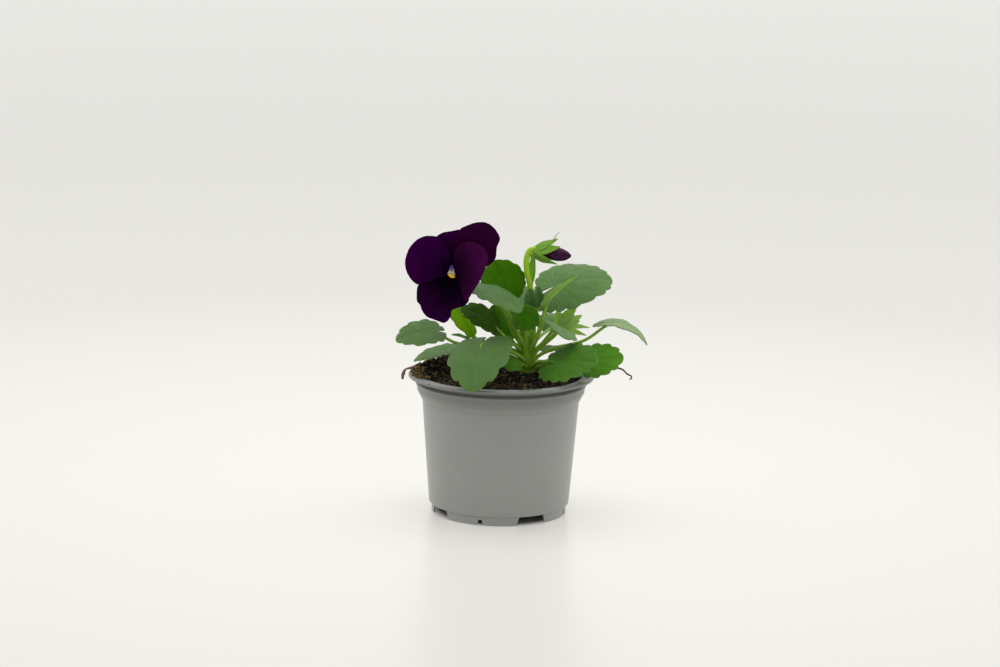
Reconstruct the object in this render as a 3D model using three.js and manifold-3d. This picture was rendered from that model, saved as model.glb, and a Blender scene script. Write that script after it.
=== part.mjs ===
// A pansy in flower, in a round 10.5 cm nursery pot. Millimetres, +Z up.
// The pot's axis is the working axis, and the finished group is shifted so that
// the origin is the centre of the bounding box, on the surface that the pot stands on.
import * as THREE from "three";
import { mergeVertices } from "three/addons/utils/BufferGeometryUtils.js";
import Module from "manifold-3d";

const wasm = await Module();
wasm.setup();

const V = (x, y, z) => new THREE.Vector3(x, y, z);
const DEGREE = Math.PI / 180;
const { cos, sin, abs, hypot, exp, sqrt, max, min, PI } = Math;

// Driving dimensions
const POT_HEIGHT = 79;
const RIM_RADIUS = 52.5;
const FLANGE_THICKNESS = 1.6;
const FOOT_HEIGHT = 5;
const WALL = 1;
const FLOOR_THICKNESS = 1.2;
const CLEARANCE = 0.3; // between pieces that touch
const SOIL_LEVEL = 76.8;
const LEAF_THICKNESS = 0.65;
const PETAL_THICKNESS = 0.65;
const POT_SIDES = 38;

// Materials, as the eye sees them
const finish = (color, roughness) => new THREE.MeshStandardMaterial({ color, roughness, metalness: 0 });
const PLASTIC = finish(0x8a8b86, 0.5);
const PEAT = finish(0x2a1b12, 0.95);
const STEM_GREEN = finish(0x6c9a2e, 0.55);
const LEAF_GREEN = finish(0x55804a, 0.6);
const YOUNG_GREEN = finish(0x7ba23c, 0.6);
const SEPAL_GREEN = finish(0x6f9c3c, 0.6);
const PURPLE = finish(0x2d0638, 0.75);
const STIGMA_GREEN = finish(0xd9d24e, 0.6);
const DRY_BROWN = finish(0x3b2a1d, 0.9);

// A closed geometry as a solid that can be joined and cut
function solid(geometry) {
  const bare = geometry.clone();
  bare.deleteAttribute("normal");
  bare.deleteAttribute("uv");
  const merged = mergeVertices(bare, 1e-4);
  return new wasm.Manifold(
    new wasm.Mesh({
      numProp: 3,
      vertProperties: merged.attributes.position.array,
      triVerts: new Uint32Array(merged.index.array),
    }),
  );
}

// The largest body of a solid, as a named mesh. A scrap that a cut leaves behind is dropped.
function meshOf(name, body, material) {
  const whole = body.decompose().sort((a, b) => b.volume() - a.volume())[0];
  const { numProp, numVert, vertProperties, triVerts } = whole.getMesh();
  const position = new Float32Array(3 * numVert);
  for (let i = 0; i < numVert; i++) {
    position.set(vertProperties.subarray(i * numProp, i * numProp + 3), 3 * i);
  }
  const geometry = new THREE.BufferGeometry();
  geometry.setAttribute("position", new THREE.BufferAttribute(position, 3));
  geometry.setIndex(new THREE.BufferAttribute(new Uint32Array(triVerts), 1));
  geometry.computeVertexNormals();
  const mesh = new THREE.Mesh(geometry, material);
  mesh.name = name;
  return mesh;
}

const joined = (bodies) => bodies.reduce((whole, body) => whole.add(body));

// A profile of [radius, height] pairs, turned round the Z axis
function turned(profile, sides) {
  const points = profile.map(([r, z]) => new THREE.Vector2(r, z));
  return solid(new THREE.LatheGeometry(points, sides).rotateX(PI / 2));
}

// A round stalk along a curve, with its radius given from 0 at the root to 1 at the end
function stalk(curve, radiusAt, sides = 6, steps = 9) {
  const geometry = new THREE.CylinderGeometry(1, 1, 1, sides, steps);
  const frames = curve.computeFrenetFrames(steps);
  const position = geometry.getAttribute("position");
  for (let i = 0; i < position.count; i++) {
    const share = position.getY(i) + 0.5;
    const step = Math.round(share * steps);
    const radius = radiusAt(share);
    const point = curve
      .getPointAt(share)
      .addScaledVector(frames.binormals[step], radius * position.getX(i))
      .addScaledVector(frames.normals[step], radius * position.getZ(i));
    position.setXYZ(i, point.x, point.y, point.z);
  }
  return solid(geometry);
}

const through = (points) => new THREE.CatmullRomCurve3(points, false, "centripetal");

// The way a surface faces at a flat point
function normalAt(surface, x, y) {
  const step = 0.05;
  const along = surface(x + step, y).sub(surface(x - step, y));
  const across = surface(x, y + step).sub(surface(x, y - step));
  return along.cross(across).normalize();
}

// A thin closed sheet. outline gives flat points round the centre, rings are shares of the way
// out to it, and surface lays a flat point in space. The rings inside the outline take only every
// so many of its points, as stride says. Both faces have the same triangles.
function sheet(surface, outline, centre, rings, stride, thickness) {
  const coarse = outline.filter((point, i) => i % stride === 0);
  const count = coarse.length;
  const flat = [centre];
  for (const ring of rings) {
    for (const edge of coarse) flat.push(centre.clone().lerp(edge, ring));
  }
  flat.push(...outline);
  const faces = [1, -1].map((side) =>
    flat.map(({ x, y }) => surface(x, y).addScaledVector(normalAt(surface, x, y), (side * thickness) / 2)),
  );
  const vertices = [...faces[0], ...faces[1]].flatMap((v) => v.toArray());
  const half = flat.length;
  const index = [];
  const both = (a, b, c) => index.push(a, b, c, half + a, half + c, half + b);
  const last = 1 + (rings.length - 1) * count;
  const edge = 1 + rings.length * count;
  for (let j = 0; j < count; j++) {
    const next = (j + 1) % count;
    if (rings.length > 0) both(0, 1 + j, 1 + next);
    for (let inner = 1; inner < last; inner += count) {
      both(inner + j, inner + count + j, inner + count + next);
      both(inner + j, inner + count + next, inner + next);
    }
    const middle = Math.floor(stride / 2);
    for (let k = 0; k < stride; k++) {
      const a = edge + j * stride + k;
      const b = edge + ((j * stride + k + 1) % outline.length);
      if (rings.length === 0) both(0, a, b);
      if (rings.length > 0) both(last + (k <= middle ? j : next), a, b);
      if (rings.length > 0 && k === middle) both(last + j, b, last + next);
      index.push(a, half + a, half + b, a, half + b, b);
    }
  }
  const geometry = new THREE.BufferGeometry();
  geometry.setAttribute("position", new THREE.Float32BufferAttribute(vertices, 3));
  geometry.setIndex(index);
  return solid(geometry);
}

// Pot: a thin moulded shell with a flange, a stacking collar and a notched foot
const FOOT_RADIUS = 38.5;
const BODY_BOTTOM_RADIUS = 40;
const BODY_TOP_RADIUS = 44.4;
const BODY_TOP = 64.7;
const COLLAR_RADIUS = 47.5;
const NECK_RADIUS = 46.2;
const FLANGE_BOTTOM = POT_HEIGHT - FLANGE_THICKNESS;
const FLOOR_TOP = FOOT_HEIGHT + FLOOR_THICKNESS;

function potShell() {
  const outside = [
    [FOOT_RADIUS - 0.3, 0],
    [FOOT_RADIUS, FOOT_HEIGHT - 0.2],
    [BODY_BOTTOM_RADIUS, FOOT_HEIGHT + 0.2],
    [BODY_TOP_RADIUS, BODY_TOP],
    [COLLAR_RADIUS - 0.6, BODY_TOP + 4.2],
    [COLLAR_RADIUS, BODY_TOP + 5.4],
    [COLLAR_RADIUS, 72.8],
    [COLLAR_RADIUS + 0.7, 73.6],
    [COLLAR_RADIUS - 0.1, 74.6],
    [NECK_RADIUS, 75.1],
    [NECK_RADIUS, FLANGE_BOTTOM],
    [RIM_RADIUS - 0.1, FLANGE_BOTTOM],
    [RIM_RADIUS, POT_HEIGHT - 0.4],
    [RIM_RADIUS - 0.5, POT_HEIGHT],
  ];
  const inside = [
    [NECK_RADIUS + 0.5, POT_HEIGHT],
    [NECK_RADIUS - WALL, POT_HEIGHT - 1],
    [NECK_RADIUS - WALL, 74.9],
    [COLLAR_RADIUS - WALL, 73.8],
    [COLLAR_RADIUS - WALL, BODY_TOP + 5.4],
    [BODY_TOP_RADIUS - WALL, BODY_TOP],
    [BODY_BOTTOM_RADIUS - WALL, FLOOR_TOP],
    [0, FLOOR_TOP],
    [0, FOOT_HEIGHT],
    [FOOT_RADIUS - WALL, FOOT_HEIGHT],
    [FOOT_RADIUS - WALL - 0.3, 0],
  ];
  const floor = inside.findIndex(([r]) => r === 0);
  const underside = inside.slice(floor + 1).map(([r, z]) => [r, z]);
  const profile = [[0, FOOT_HEIGHT], ...underside, ...outside, ...inside.slice(0, floor + 1)];
  return turned(profile, POT_SIDES);
}

// A prism that cuts the foot's skirt at an angle from the front, [half width, height] pairs each side
function footCut(outline, angle, reach) {
  const shape = new THREE.Shape(outline.map(([x, z]) => new THREE.Vector2(x, z)));
  const prism = new THREE.ExtrudeGeometry(shape, { depth: 12, bevelEnabled: false });
  prism.rotateX(PI / 2).translate(0, -reach + 8, 0).rotateZ(angle * DEGREE);
  return solid(prism);
}

const NOTCH_ANGLE = 29; // of the first wide notch, to the right of the front
const VEE_ANGLE = -15.5; // of the first small notch
const QUARTERS = [0, 90, 180, 270];

function pot() {
  const wide = [[-9.6, -1], [9.6, -1], [7.6, FOOT_HEIGHT], [-7.6, FOOT_HEIGHT]];
  const vee = [[-2.2, -1], [2.2, -1], [0.4, 3.2], [-0.4, 3.2]];
  let shell = potShell();
  for (const quarter of QUARTERS) {
    shell = shell.subtract(footCut(wide, NOTCH_ANGLE + quarter, FOOT_RADIUS));
    shell = shell.subtract(footCut(vee, VEE_ANGLE + quarter, FOOT_RADIUS));
    const drain = new THREE.CylinderGeometry(4.5, 4.5, 6, 12).rotateX(PI / 2);
    drain.translate(0, -30, FOOT_HEIGHT).rotateZ((NOTCH_ANGLE + quarter) * DEGREE);
    shell = shell.subtract(solid(drain));
  }
  const middle = new THREE.CylinderGeometry(4.5, 4.5, 6, 12).rotateX(PI / 2);
  return shell.subtract(solid(middle.translate(0, 0, FOOT_HEIGHT)));
}

// Crown: the short main stem, and the side shoot that leaves it at the back right with pale stipules
const CROWN = { x: 14.6, y: 6, base: 66, top: 105 };
const CROWN_LINE = through([
  V(CROWN.x + 0.6, CROWN.y + 1.5, CROWN.base),
  V(CROWN.x + 0.4, CROWN.y + 1, 79),
  V(CROWN.x - 0.4, CROWN.y - 1, 92),
  V(CROWN.x - 0.6, CROWN.y - 2, CROWN.top),
]);
const SHOOT_TIP = V(33, 13.5, 104);
const SHOOT_LINE = through([V(15.5, 8, 84), V(20, 12, 91), V(26, 14, 96), V(30.5, 14, 100), SHOOT_TIP]);
const STIPULES = [
  { tip: [42.5, 16, 116], face: [-0.5, -0.8, 0.3], width: 9 },
  { tip: [45.5, 12, 111.5], face: [0.3, -0.9, 0.4], width: 8 },
  { tip: [49.8, 11, 104.6], face: [0, -0.6, 0.8], width: 5 },
  { tip: [48.5, 14, 99.5], face: [0.1, -0.9, 0.4], width: 4 },
  { tip: [32, 17, 115], face: [-0.6, -0.8, 0.2], width: 7 },
];

// A spear-shaped flat sheet from a root to a tip, bent by droop
const SPEAR = [
  [0, 0.12],
  [0.12, 0.3],
  [0.38, 0.48],
  [0.65, 0.34],
  [0.86, 0.15],
];

function spear(root, { tip, face, width, droop = 20, cup = 20, thickness = LEAF_THICKNESS }) {
  const spec = { hilt: root.toArray(), tip, face, width, droop, cup, fold: 8, wave: 0 };
  const { surface, length } = bladeFrame(spec);
  const side = (sign) => SPEAR.map(([x, y]) => new THREE.Vector2(x * length, sign * y * width));
  const [base, point] = [0, length].map((x) => new THREE.Vector2(x, 0));
  const outline = [base, ...side(-1), point, ...side(1).reverse()];
  const centre = new THREE.Vector2(0.42 * length, 0);
  return sheet(surface, outline, centre, [], 1, thickness);
}

const RIB_TURNS = [195, 260, 330, 100]; // leaf bases that run down the stem, in degrees

function crownStem(extra = 0) {
  const swelling = (share) => 3.4 + 0.6 * sin(share * 3) + extra;
  const stem = stalk(CROWN_LINE, swelling, 9, 6);
  const shoot = stalk(SHOOT_LINE, (share) => 1.9 - 0.7 * share + extra, 6, 5);
  const ribs = RIB_TURNS.map((turn) => {
    const side = V(cos(turn * DEGREE), sin(turn * DEGREE), 0);
    const beside = (share, reach) => CROWN_LINE.getPointAt(share).addScaledVector(side, reach);
    const line = through([beside(0.2, 1.5), beside(0.45, 3.4), beside(0.7, 4), beside(0.95, 4.2)]);
    return stalk(line, (share) => 1.6 + 0.3 * share - 1.2 * share ** 5 + extra, 5, 4);
  });
  return joined([stem, shoot, ...ribs]);
}

function crown() {
  return joined([crownStem(), ...STIPULES.map((stipule) => spear(SHOOT_TIP.clone(), stipule))]);
}

// Soil: potting mix that fills the pot, crumbly on top and heaped against the stem and the left rim
const bump = (x, y, cx, cy, width) => exp(-((x - cx) ** 2 + (y - cy) ** 2) / (2 * width ** 2));

function soilTop(x, y) {
  const stemHeap = 2.6 * bump(x, y, CROWN.x, CROWN.y, 9);
  const heaps = 4.4 * bump(x, y, -43, 10, 8) + 5.2 * bump(x, y, -36, 25, 8) + 5 * bump(x, y, -28, 34, 8);
  const rimHeap = heaps * min(1, max(0.35, (46.5 - hypot(x, y)) / 4));
  const crumbs = 0.5 * sin(0.9 * x + 1.3 * sin(0.7 * y)) * cos(0.8 * y + sin(0.6 * x));
  const grains = 0.35 * sin(2.1 * x + 0.4 * y) * sin(1.7 * y - 0.5 * x);
  return SOIL_LEVEL + stemHeap + rimHeap + crumbs + grains;
}

function soil() {
  const rings = [0, 6.5, 13, 19.5, 26, 32, 38, 44.6];
  const profile = rings.map((r) => [r, SOIL_LEVEL]);
  profile.push([COLLAR_RADIUS - WALL - 1.6, 72]);
  profile.push([BODY_TOP_RADIUS - WALL - CLEARANCE, BODY_TOP - 1]);
  profile.push([BODY_BOTTOM_RADIUS - WALL - CLEARANCE, FLOOR_TOP + CLEARANCE]);
  profile.push([0, FLOOR_TOP + CLEARANCE]);
  const points = profile.reverse().map(([r, z]) => new THREE.Vector2(r, z));
  const geometry = new THREE.LatheGeometry(points, POT_SIDES).rotateX(PI / 2);
  const position = geometry.getAttribute("position");
  for (let i = 0; i < position.count; i++) {
    if (position.getZ(i) < SOIL_LEVEL - 0.01) continue;
    position.setZ(i, soilTop(position.getX(i), position.getY(i)));
  }
  return solid(geometry).subtract(crownStem(CLEARANCE));
}

// Leaves. hilt is where the petiole meets the blade, tip is the end of the midrib, and face is the
// way the upper side looks. root is the petiole's height on the crown, or a point in it, and via are
// points that the petiole passes.
// lobe is the reach of the basal lobes behind the hilt, as a share of the midrib.
// droop bends the midrib, cup bends the sides up, fold closes the halves, all in degrees.
// scallops counts the round teeth on one side, and wave is the height of the margin's undulation.
// taper narrows the blade towards the tip, and stout is the petiole's radius at its root.
const LEAVES = [
  {
    name: "leaf_far_left", root: 87, hilt: [-38, -6, 103.9], tip: [-59.4, -10, 98.4],
    via: [[2, 1, 93.4], [-26, -4, 97]], face: [-0.1, -0.46, 0.88],
    width: 24.5, lobe: 0.3, droop: 38, cup: -14, fold: 5, scallops: 4, wave: 0.5, taper: 0.2,
  },
  {
    name: "leaf_low_left", root: 83.6, hilt: [-30, 11, 90.6], tip: [-50, 11, 83.1],
    via: [[-4, 8, 91]], face: [-0.2, -0.16, 0.96],
    width: 21, lobe: 0.28, droop: 30, cup: -10, fold: 4, scallops: 5, wave: 0.5, taper: 0.3,
  },
  {
    name: "leaf_front", root: 84, hilt: [-10.2, -24.6, 101], tip: [-14.8, -55, 79.2],
    via: [[8, -9, 92]], face: [-0.24, -0.6, 0.76],
    width: 36.5, lobe: 0.38, droop: 47, cup: -14, fold: 4, scallops: 4, wave: 0.5, taper: 0.1,
  },
  {
    name: "leaf_behind_flower", root: 90, hilt: [-16.5, 10, 98.8], tip: [-28.8, 12, 117],
    via: [[0, 10, 93]], face: [0.3, -0.85, 0.35],
    width: 12.5, lobe: 0.12, droop: 20, cup: 14, fold: 6, scallops: 3, wave: 0.4, taper: -0.4,
  },
  {
    name: "leaf_shaded", root: 89.5, hilt: [-3.6, -1, 106.2], tip: [-23.9, -2, 116],
    via: [[6, -3, 97]], face: [-0.35, -0.45, 0.8],
    width: 18, lobe: 0.2, droop: 55, cup: -14, fold: 6, scallops: 4, wave: 0.4,
  },
  {
    name: "leaf_behind_centre", root: 88, hilt: [3.6, 11, 99.5], tip: [-5.4, 9, 117],
    via: [[9, 10, 93]], face: [-0.1, -0.95, 0.3],
    width: 17, lobe: 0.2, droop: 20, cup: 10, fold: 6, scallops: 3, wave: 0.4,
  },
  {
    name: "leaf_under_flower", root: [13.4, 1, 95], hilt: [-13.2, -11, 130.9], tip: [9.6, -27, 118.5],
    via: [[8, 1, 104], [3.5, -1, 114], [-4, -6, 124]], face: [0.4, -0.3, 0.87],
    width: 28, lobe: 0.2, droop: 42, cup: -24, fold: 3, scallops: 5, wave: 0.4,
  },
  {
    name: "leaf_upright", root: [13, 5, 97], hilt: [3, 6, 122.2], tip: [-5.3, 11, 142.2],
    via: [[8, 4.6, 111]], face: [0.12, -0.95, 0.25],
    width: 27, lobe: 0.2, droop: 22, cup: 18, fold: 8, scallops: 5, wave: 0.5, notch: 0.06,
  },
  {
    name: "leaf_upper_right", root: 93, hilt: [29.8, 13, 127.8], tip: [62.4, 17.5, 130.8],
    via: [[20.6, 7.4, 101], [24.6, 10.8, 113]], face: [-0.24, -0.68, 0.69],
    width: 34, lobe: 0.4, droop: 56, cup: -32, fold: 0, scallops: 7, wave: 0.6, taper: 0.25, notch: 0.08,
  },
  {
    name: "leaf_narrow", root: 89, hilt: [24.6, -3, 121], tip: [42.9, -6, 137],
    via: [[18.8, -2, 98], [22.6, -3, 111]], face: [-0.45, -0.6, 0.65],
    width: 5.6, lobe: 0.3, droop: 26, cup: 20, fold: 10, scallops: 4, wave: 0.2, stout: 1.4, taper: 0.45,
  },
  {
    name: "leaf_mid_right", root: 86, hilt: [31, -6, 108.4], tip: [34.5, -23, 104],
    via: [[22.5, -2, 97]], face: [0.55, -0.34, 0.76],
    width: 23, lobe: 0.25, droop: 30, cup: -14, fold: 4, scallops: 4, wave: 0.4,
  },
  {
    name: "leaf_far_right", root: 84, hilt: [62, 9, 108], tip: [82.7, 8, 95.7],
    via: [[27, 7, 92], [47, 9, 97.5]], face: [0.3, -0.06, 0.95],
    width: 23, lobe: 0.44, droop: 60, cup: -8, fold: 6, scallops: 5, wave: 0.4,
  },
  {
    name: "leaf_front_right", root: 80.5, hilt: [32, -22.5, 90.5], tip: [52.7, -31, 92],
    via: [[22, -9, 88]], face: [0.02, -0.5, 0.86],
    width: 36, lobe: 0.56, droop: 24, cup: -12, fold: 3, scallops: 6, wave: 0.5,
  },
  {
    name: "leaf_low_right", root: 80, hilt: [45.9, -7, 87.4], tip: [68.5, -11, 91.6],
    via: [[30, -2, 86]], face: [0.05, -0.68, 0.7],
    width: 23.5, lobe: 0.25, droop: 18, cup: -8, fold: 3, scallops: 5, wave: 0.4,
  },
  {
    name: "leaf_by_soil", root: 80, hilt: [8.8, -12.5, 88.6], tip: [3.4, -19.5, 84.8],
    via: [[13, -4.5, 84.5], [11.5, -9, 86.6]], face: [-0.1, -0.75, 0.65],
    width: 11, lobe: 0.2, droop: 24, cup: -12, fold: 5, scallops: 2, wave: 0.2,
  },
  {
    name: "leaf_sliver", root: 85.5, hilt: [-19.5, 4, 98.2], tip: [-28.5, 3, 100.4],
    via: [[3, 5, 93.5]], face: [0.25, -0.1, 0.96],
    width: 3.6, lobe: 0.2, droop: 16, cup: 12, fold: 20, scallops: 2, wave: 0.2, stout: 0.6,
  },
  {
    name: "leaf_back_left", root: 83, hilt: [-3, 30, 90], tip: [-25, 43, 84],
    via: [[8, 18, 89]], face: [-0.25, 0.2, 0.94],
    width: 28, lobe: 0.3, droop: 34, cup: -10, fold: 4, scallops: 5, wave: 0.5,
  },
  {
    name: "leaf_back_right", root: 82, hilt: [30, 28, 89], tip: [48, 43, 84.5],
    via: [[22, 17, 87]], face: [0.2, 0.25, 0.94],
    width: 28, lobe: 0.3, droop: 30, cup: -12, fold: 4, scallops: 5, wave: 0.5,
  },
  {
    name: "leaf_back_high", root: [12.8, 6.4, 95], hilt: [12, 20, 114], tip: [2, 42, 121],
    via: [[12, 13, 106]], face: [-0.2, -0.25, 0.94],
    width: 28, lobe: 0.3, droop: 40, cup: -12, fold: 5, scallops: 5, wave: 0.5,
  },
  {
    name: "leaf_back_far", root: 92, hilt: [29, 30, 102], tip: [38, 49, 104],
    via: [[22, 17, 98]], face: [0.1, -0.1, 0.98],
    width: 26, lobe: 0.3, droop: 40, cup: -10, fold: 5, scallops: 5, wave: 0.5,
  },
  {
    name: "young_leaf_centre", root: [14.4, 1.4, 101], hilt: [13.2, -0.6, 104.5], tip: [12.9, -7.6, 120],
    via: [], face: [0.02, -0.93, -0.3],
    width: 19, lobe: 0.03, droop: -20, cup: 60, fold: 4, scallops: 3, wave: 0.2, taper: -0.2,
  },
  {
    name: "young_leaf_left", root: [12.7, 5.2, 101], hilt: [15.6, 1.4, 116.5], tip: [15.6, -2, 128.4],
    via: [[13.6, 3.9, 109]], face: [-0.1, -0.98, 0.15],
    width: 7.6, lobe: 0.1, droop: 14, cup: 50, fold: 6, scallops: 2, wave: 0.1,
  },
  {
    name: "young_leaf_right", root: [18, 4.2, 101], hilt: [20.4, 3.4, 117.5], tip: [20, 1.4, 129],
    via: [[18.6, 3.6, 109]], face: [0.25, -0.96, 0.15],
    width: 6, lobe: 0.1, droop: 14, cup: 50, fold: 6, scallops: 2, wave: 0.1,
  },
];

const MIDRIB_END = 0.62; // of the blade's length
const NOTCH = 0.12; // how deep a notch goes, as a share of the way to the blade's middle
const SCALLOPED_ANGLE = 2.78; // radians each side of the tip
const TIP_TOOTH = 2; // times the width of the other teeth
const TIP_SHOULDERS = [0.1, 0.3, 0.5, 0.7, 0.9]; // shares of the tooth's width
const SIDE_SHOULDERS = [0.22, 0.78];
const SINUS_WIDTH = 0.05; // radians
const BLADE_RINGS = [0.55];

// The blade as a bent surface. Flat x runs from the hilt along the midrib, and y across it.
function bladeFrame(leaf) {
  const hilt = V(...leaf.hilt);
  const chord = V(...leaf.tip).sub(hilt);
  const along = chord.clone().normalize();
  const across = V(...leaf.face).cross(along).normalize();
  const up = along.clone().cross(across);
  const bend = leaf.droop * DEGREE;
  const radius = chord.length() / (2 * sin(bend / 2));
  const length = radius * bend;
  const cup = (leaf.cup * DEGREE) / (leaf.width / 2);
  const fold = leaf.fold * DEGREE;
  const surface = (x, y) => {
    const angle = bend / 2 - x / radius;
    const side = abs(y);
    const edge = side / (leaf.width / 2);
    const ripple = leaf.wave * edge * edge * sin((9 * x) / length + (y > 0 ? 0 : 2));
    const lift = (1 - cos(cup * side)) / cup + ripple;
    const reach = sin(cup * side) / cup;
    const outward = reach * cos(fold) - lift * sin(fold);
    const upward = reach * sin(fold) + lift * cos(fold);
    return hilt
      .clone()
      .addScaledVector(along, radius * (sin(bend / 2) - sin(angle)) + upward * sin(angle))
      .addScaledVector(up, radius * (cos(angle) - cos(bend / 2)) + upward * cos(angle))
      .addScaledVector(across, Math.sign(y) * outward);
  };
  return { surface, length };
}

// A heart-shaped blade, with rounded teeth all round to the sinus at the hilt and a broad one at the
// tip. A tooth is its notch and its shoulders.
function bladeOutline(length, { width, lobe, scallops, taper = 0.05, notch: depth = NOTCH }) {
  const centre = new THREE.Vector2(((1 - lobe) / 2) * length, 0);
  const tooth = (2 * SCALLOPED_ANGLE) / (2 * scallops + TIP_TOOTH);
  const sinus = (PI - SCALLOPED_ANGLE) / 3;
  const marks = [0, sinus, 2 * sinus].map((turn) => [PI + turn, 1]);
  let notch = -SCALLOPED_ANGLE;
  for (let k = 0; k <= 2 * scallops; k++) {
    const span = k === scallops ? TIP_TOOTH * tooth : tooth;
    const shoulders = k === scallops ? TIP_SHOULDERS : SIDE_SHOULDERS;
    marks.push([notch, 1 - depth]);
    for (const share of shoulders) marks.push([notch + share * span, 1]);
    notch += span;
  }
  for (const turn of [3, 2, 1]) marks.push([PI - turn * sinus, turn === 3 ? 1 - depth : 1]);
  const outline = marks.map(([angle, scale]) => {
    const fromSinus = (PI - abs(angle > PI ? angle - 2 * PI : angle)) / SINUS_WIDTH;
    const x = length * ((1 + lobe) / 2) * cos(angle) + lobe * length * exp(-(fromSinus ** 2));
    const y = (width / 2) * sin(angle) * (1 - taper * cos(angle));
    return new THREE.Vector2(x, y).multiplyScalar(scale).add(centre);
  });
  return { centre, outline };
}

// The radius of a petiole at its root
const stoutness = ({ width, stout = 0.8 + width / 80 }) => stout;

// The petiole, from inside the crown to the hilt and on under the blade as its midrib
function petioleLine(spec, surface, length) {
  const height = (spec.root - CROWN.base) / (CROWN.top - CROWN.base);
  const root = Array.isArray(spec.root) ? V(...spec.root) : CROWN_LINE.getPointAt(height);
  const via = spec.via.map((point) => V(...point));
  const depth = 0.2 - 0.75 * stoutness(spec);
  const under = (x) => surface(x * length, 0).addScaledVector(normalAt(surface, x * length, 0), depth);
  return through([root, ...via, under(0), under(0.3), under(MIDRIB_END)]);
}

function leaf(spec) {
  const { surface, length } = bladeFrame(spec);
  const { centre, outline } = bladeOutline(length, spec);
  const plate = sheet(surface, outline, centre, BLADE_RINGS, 3, LEAF_THICKNESS);
  const line = petioleLine(spec, surface, length);
  const bare = 1 - (MIDRIB_END * length) / line.getLength();
  const stout = stoutness(spec);
  const radius = (share) => {
    if (share < bare) return stout * (1 - 0.25 * (share / bare));
    return stout * (0.75 - (0.35 * (share - bare)) / (1 - bare));
  };
  return plate.add(stalk(line, radius, 5, 10)).subtract(crownStem(CLEARANCE));
}

// Flower. It faces the front and a little to the left. Petals lie in layers on one common surface.
// Flat x runs to the right as seen from the front, flat y up, and depth towards the front.
const EYE = V(-28, -20, 138.4);
const FLOWER_YAW = -20 * DEGREE;
const FLOWER_RISE = 6 * DEGREE;
const FACING = V(sin(FLOWER_YAW) * cos(FLOWER_RISE), -cos(FLOWER_YAW) * cos(FLOWER_RISE), sin(FLOWER_RISE));
const RIGHTWARD = V(0, 0, 1).cross(FACING).normalize();
const UPWARD = FACING.clone().cross(RIGHTWARD);
const LAYER = 1.35;

const inFlower = (x, y, depth) =>
  EYE.clone().addScaledVector(RIGHTWARD, x).addScaledVector(UPWARD, y).addScaledVector(FACING, depth);

// The outlines run from the claw anticlockwise round the petal and back to the claw
const PETALS = [
  { name: "petal_upper_left", layer: -2, tilt: 0, outline: [[-0.6, 1.3], [0.6, 1.3], [4, 9], [7, 17],
    [5, 23], [1.3, 24.6], [-3, 23.6], [-8, 22.4], [-12, 19.5], [-13, 14], [-10, 8], [-5, 4.5]] },
  { name: "petal_upper_right", layer: -1, tilt: 0, outline: [[1.4, 0.6], [8, 2.5], [15, 4], [20.2, 6],
    [23.8, 9.8], [24.4, 16], [26, 21.4], [22.9, 26.3], [18.8, 29.1], [14.1, 29.6], [8.1, 27.8],
    [2, 24.5], [-2, 18], [-1, 10], [0.4, 1.6]] },
  { name: "petal_lower", layer: 0, tilt: 0, outline: [[-1.8, -1], [-7, -1.5], [-14, -3.5], [-20, -7.7],
    [-20.8, -12.7], [-20.6, -16.7], [-18.5, -18.6], [-16.5, -21.8], [-13.3, -24.6], [-8.8, -26.1],
    [-3, -27.2], [0.2, -23.4], [0.5, -20.5], [4.3, -18.4], [7.7, -17.2], [10.5, -14], [9, -8],
    [4.5, -1.6], [1.8, -1]] },
  { name: "petal_left", layer: 1, tilt: 0, outline: [[-1.2, -0.4], [-1.1, 2.4], [-1.6, 9.9], [-4.1, 15.4],
    [-8.7, 19.8], [-12.7, 20.4], [-17, 19.9], [-21.7, 17.5], [-26.7, 12.3], [-28, 6.5], [-26.9, 0.5],
    [-24, -4.3], [-19.5, -7.2], [-16.9, -6.2], [-10.6, -4], [-4, -1.4]] },
  { name: "petal_right", layer: 1, tilt: 24, outline: [[1.2, -0.6], [4.2, -1.6], [7.6, -7], [11.3, -13.1],
    [12.8, -13.6], [17.8, -7.4], [22.5, -1.4], [26, 5.2], [27.3, 10.1], [24.7, 14.7], [21.1, 16.8],
    [15.8, 18.4], [10, 18.2], [4.4, 15.5], [0.7, 10], [1.1, 3]] },
];
const PETAL_POINTS = 34;

function petal({ layer, tilt, outline }) {
  const turn = tilt * DEGREE;
  const surface = (x, y) => {
    const out = hypot(x, y) / 26;
    const around = Math.atan2(y, x);
    const ruffle = out * out * (0.7 * sin(6 * around + 1) + 0.35 * sin(11 * around));
    return inFlower(x * cos(turn), y, layer * LAYER + x * sin(turn) + ruffle);
  };
  const corners = outline.map(([x, y]) => V(x, y, 0));
  const margin = new THREE.CatmullRomCurve3(corners, true, "centripetal");
  const points = margin.getSpacedPoints(PETAL_POINTS).slice(0, PETAL_POINTS);
  const flat = points.map(({ x, y }) => new THREE.Vector2(x, y));
  const area = flat.reduce((sum, a, i) => sum + a.cross(flat[(i + 1) % flat.length]), 0);
  if (area < 0) flat.reverse();
  const centre = flat.reduce((sum, a) => sum.add(a), new THREE.Vector2()).divideScalar(flat.length);
  return sheet(surface, flat, centre, [0.5], 2, PETAL_THICKNESS);
}

// The lower petal carries a short blunt spur that passes back under the calyx
function lowerPetal(spec) {
  const points = [[0, -4, 0.1], [0, -4.6, -3], [0.2, -4.8, -6.5], [0.3, -4.6, -8.5]];
  const line = through(points.map((point) => inFlower(...point)));
  return petal(spec).add(stalk(line, (share) => 1.1 + 0.3 * sin(PI * share), 7, 4));
}

// Calyx: a small cup behind the petals with five pointed sepals, at the end of the flower stalk
const CALYX_DEPTH = -2.6 * LAYER;
const SEPAL_TURNS = [72, 134, 196, 326, 20];

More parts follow.
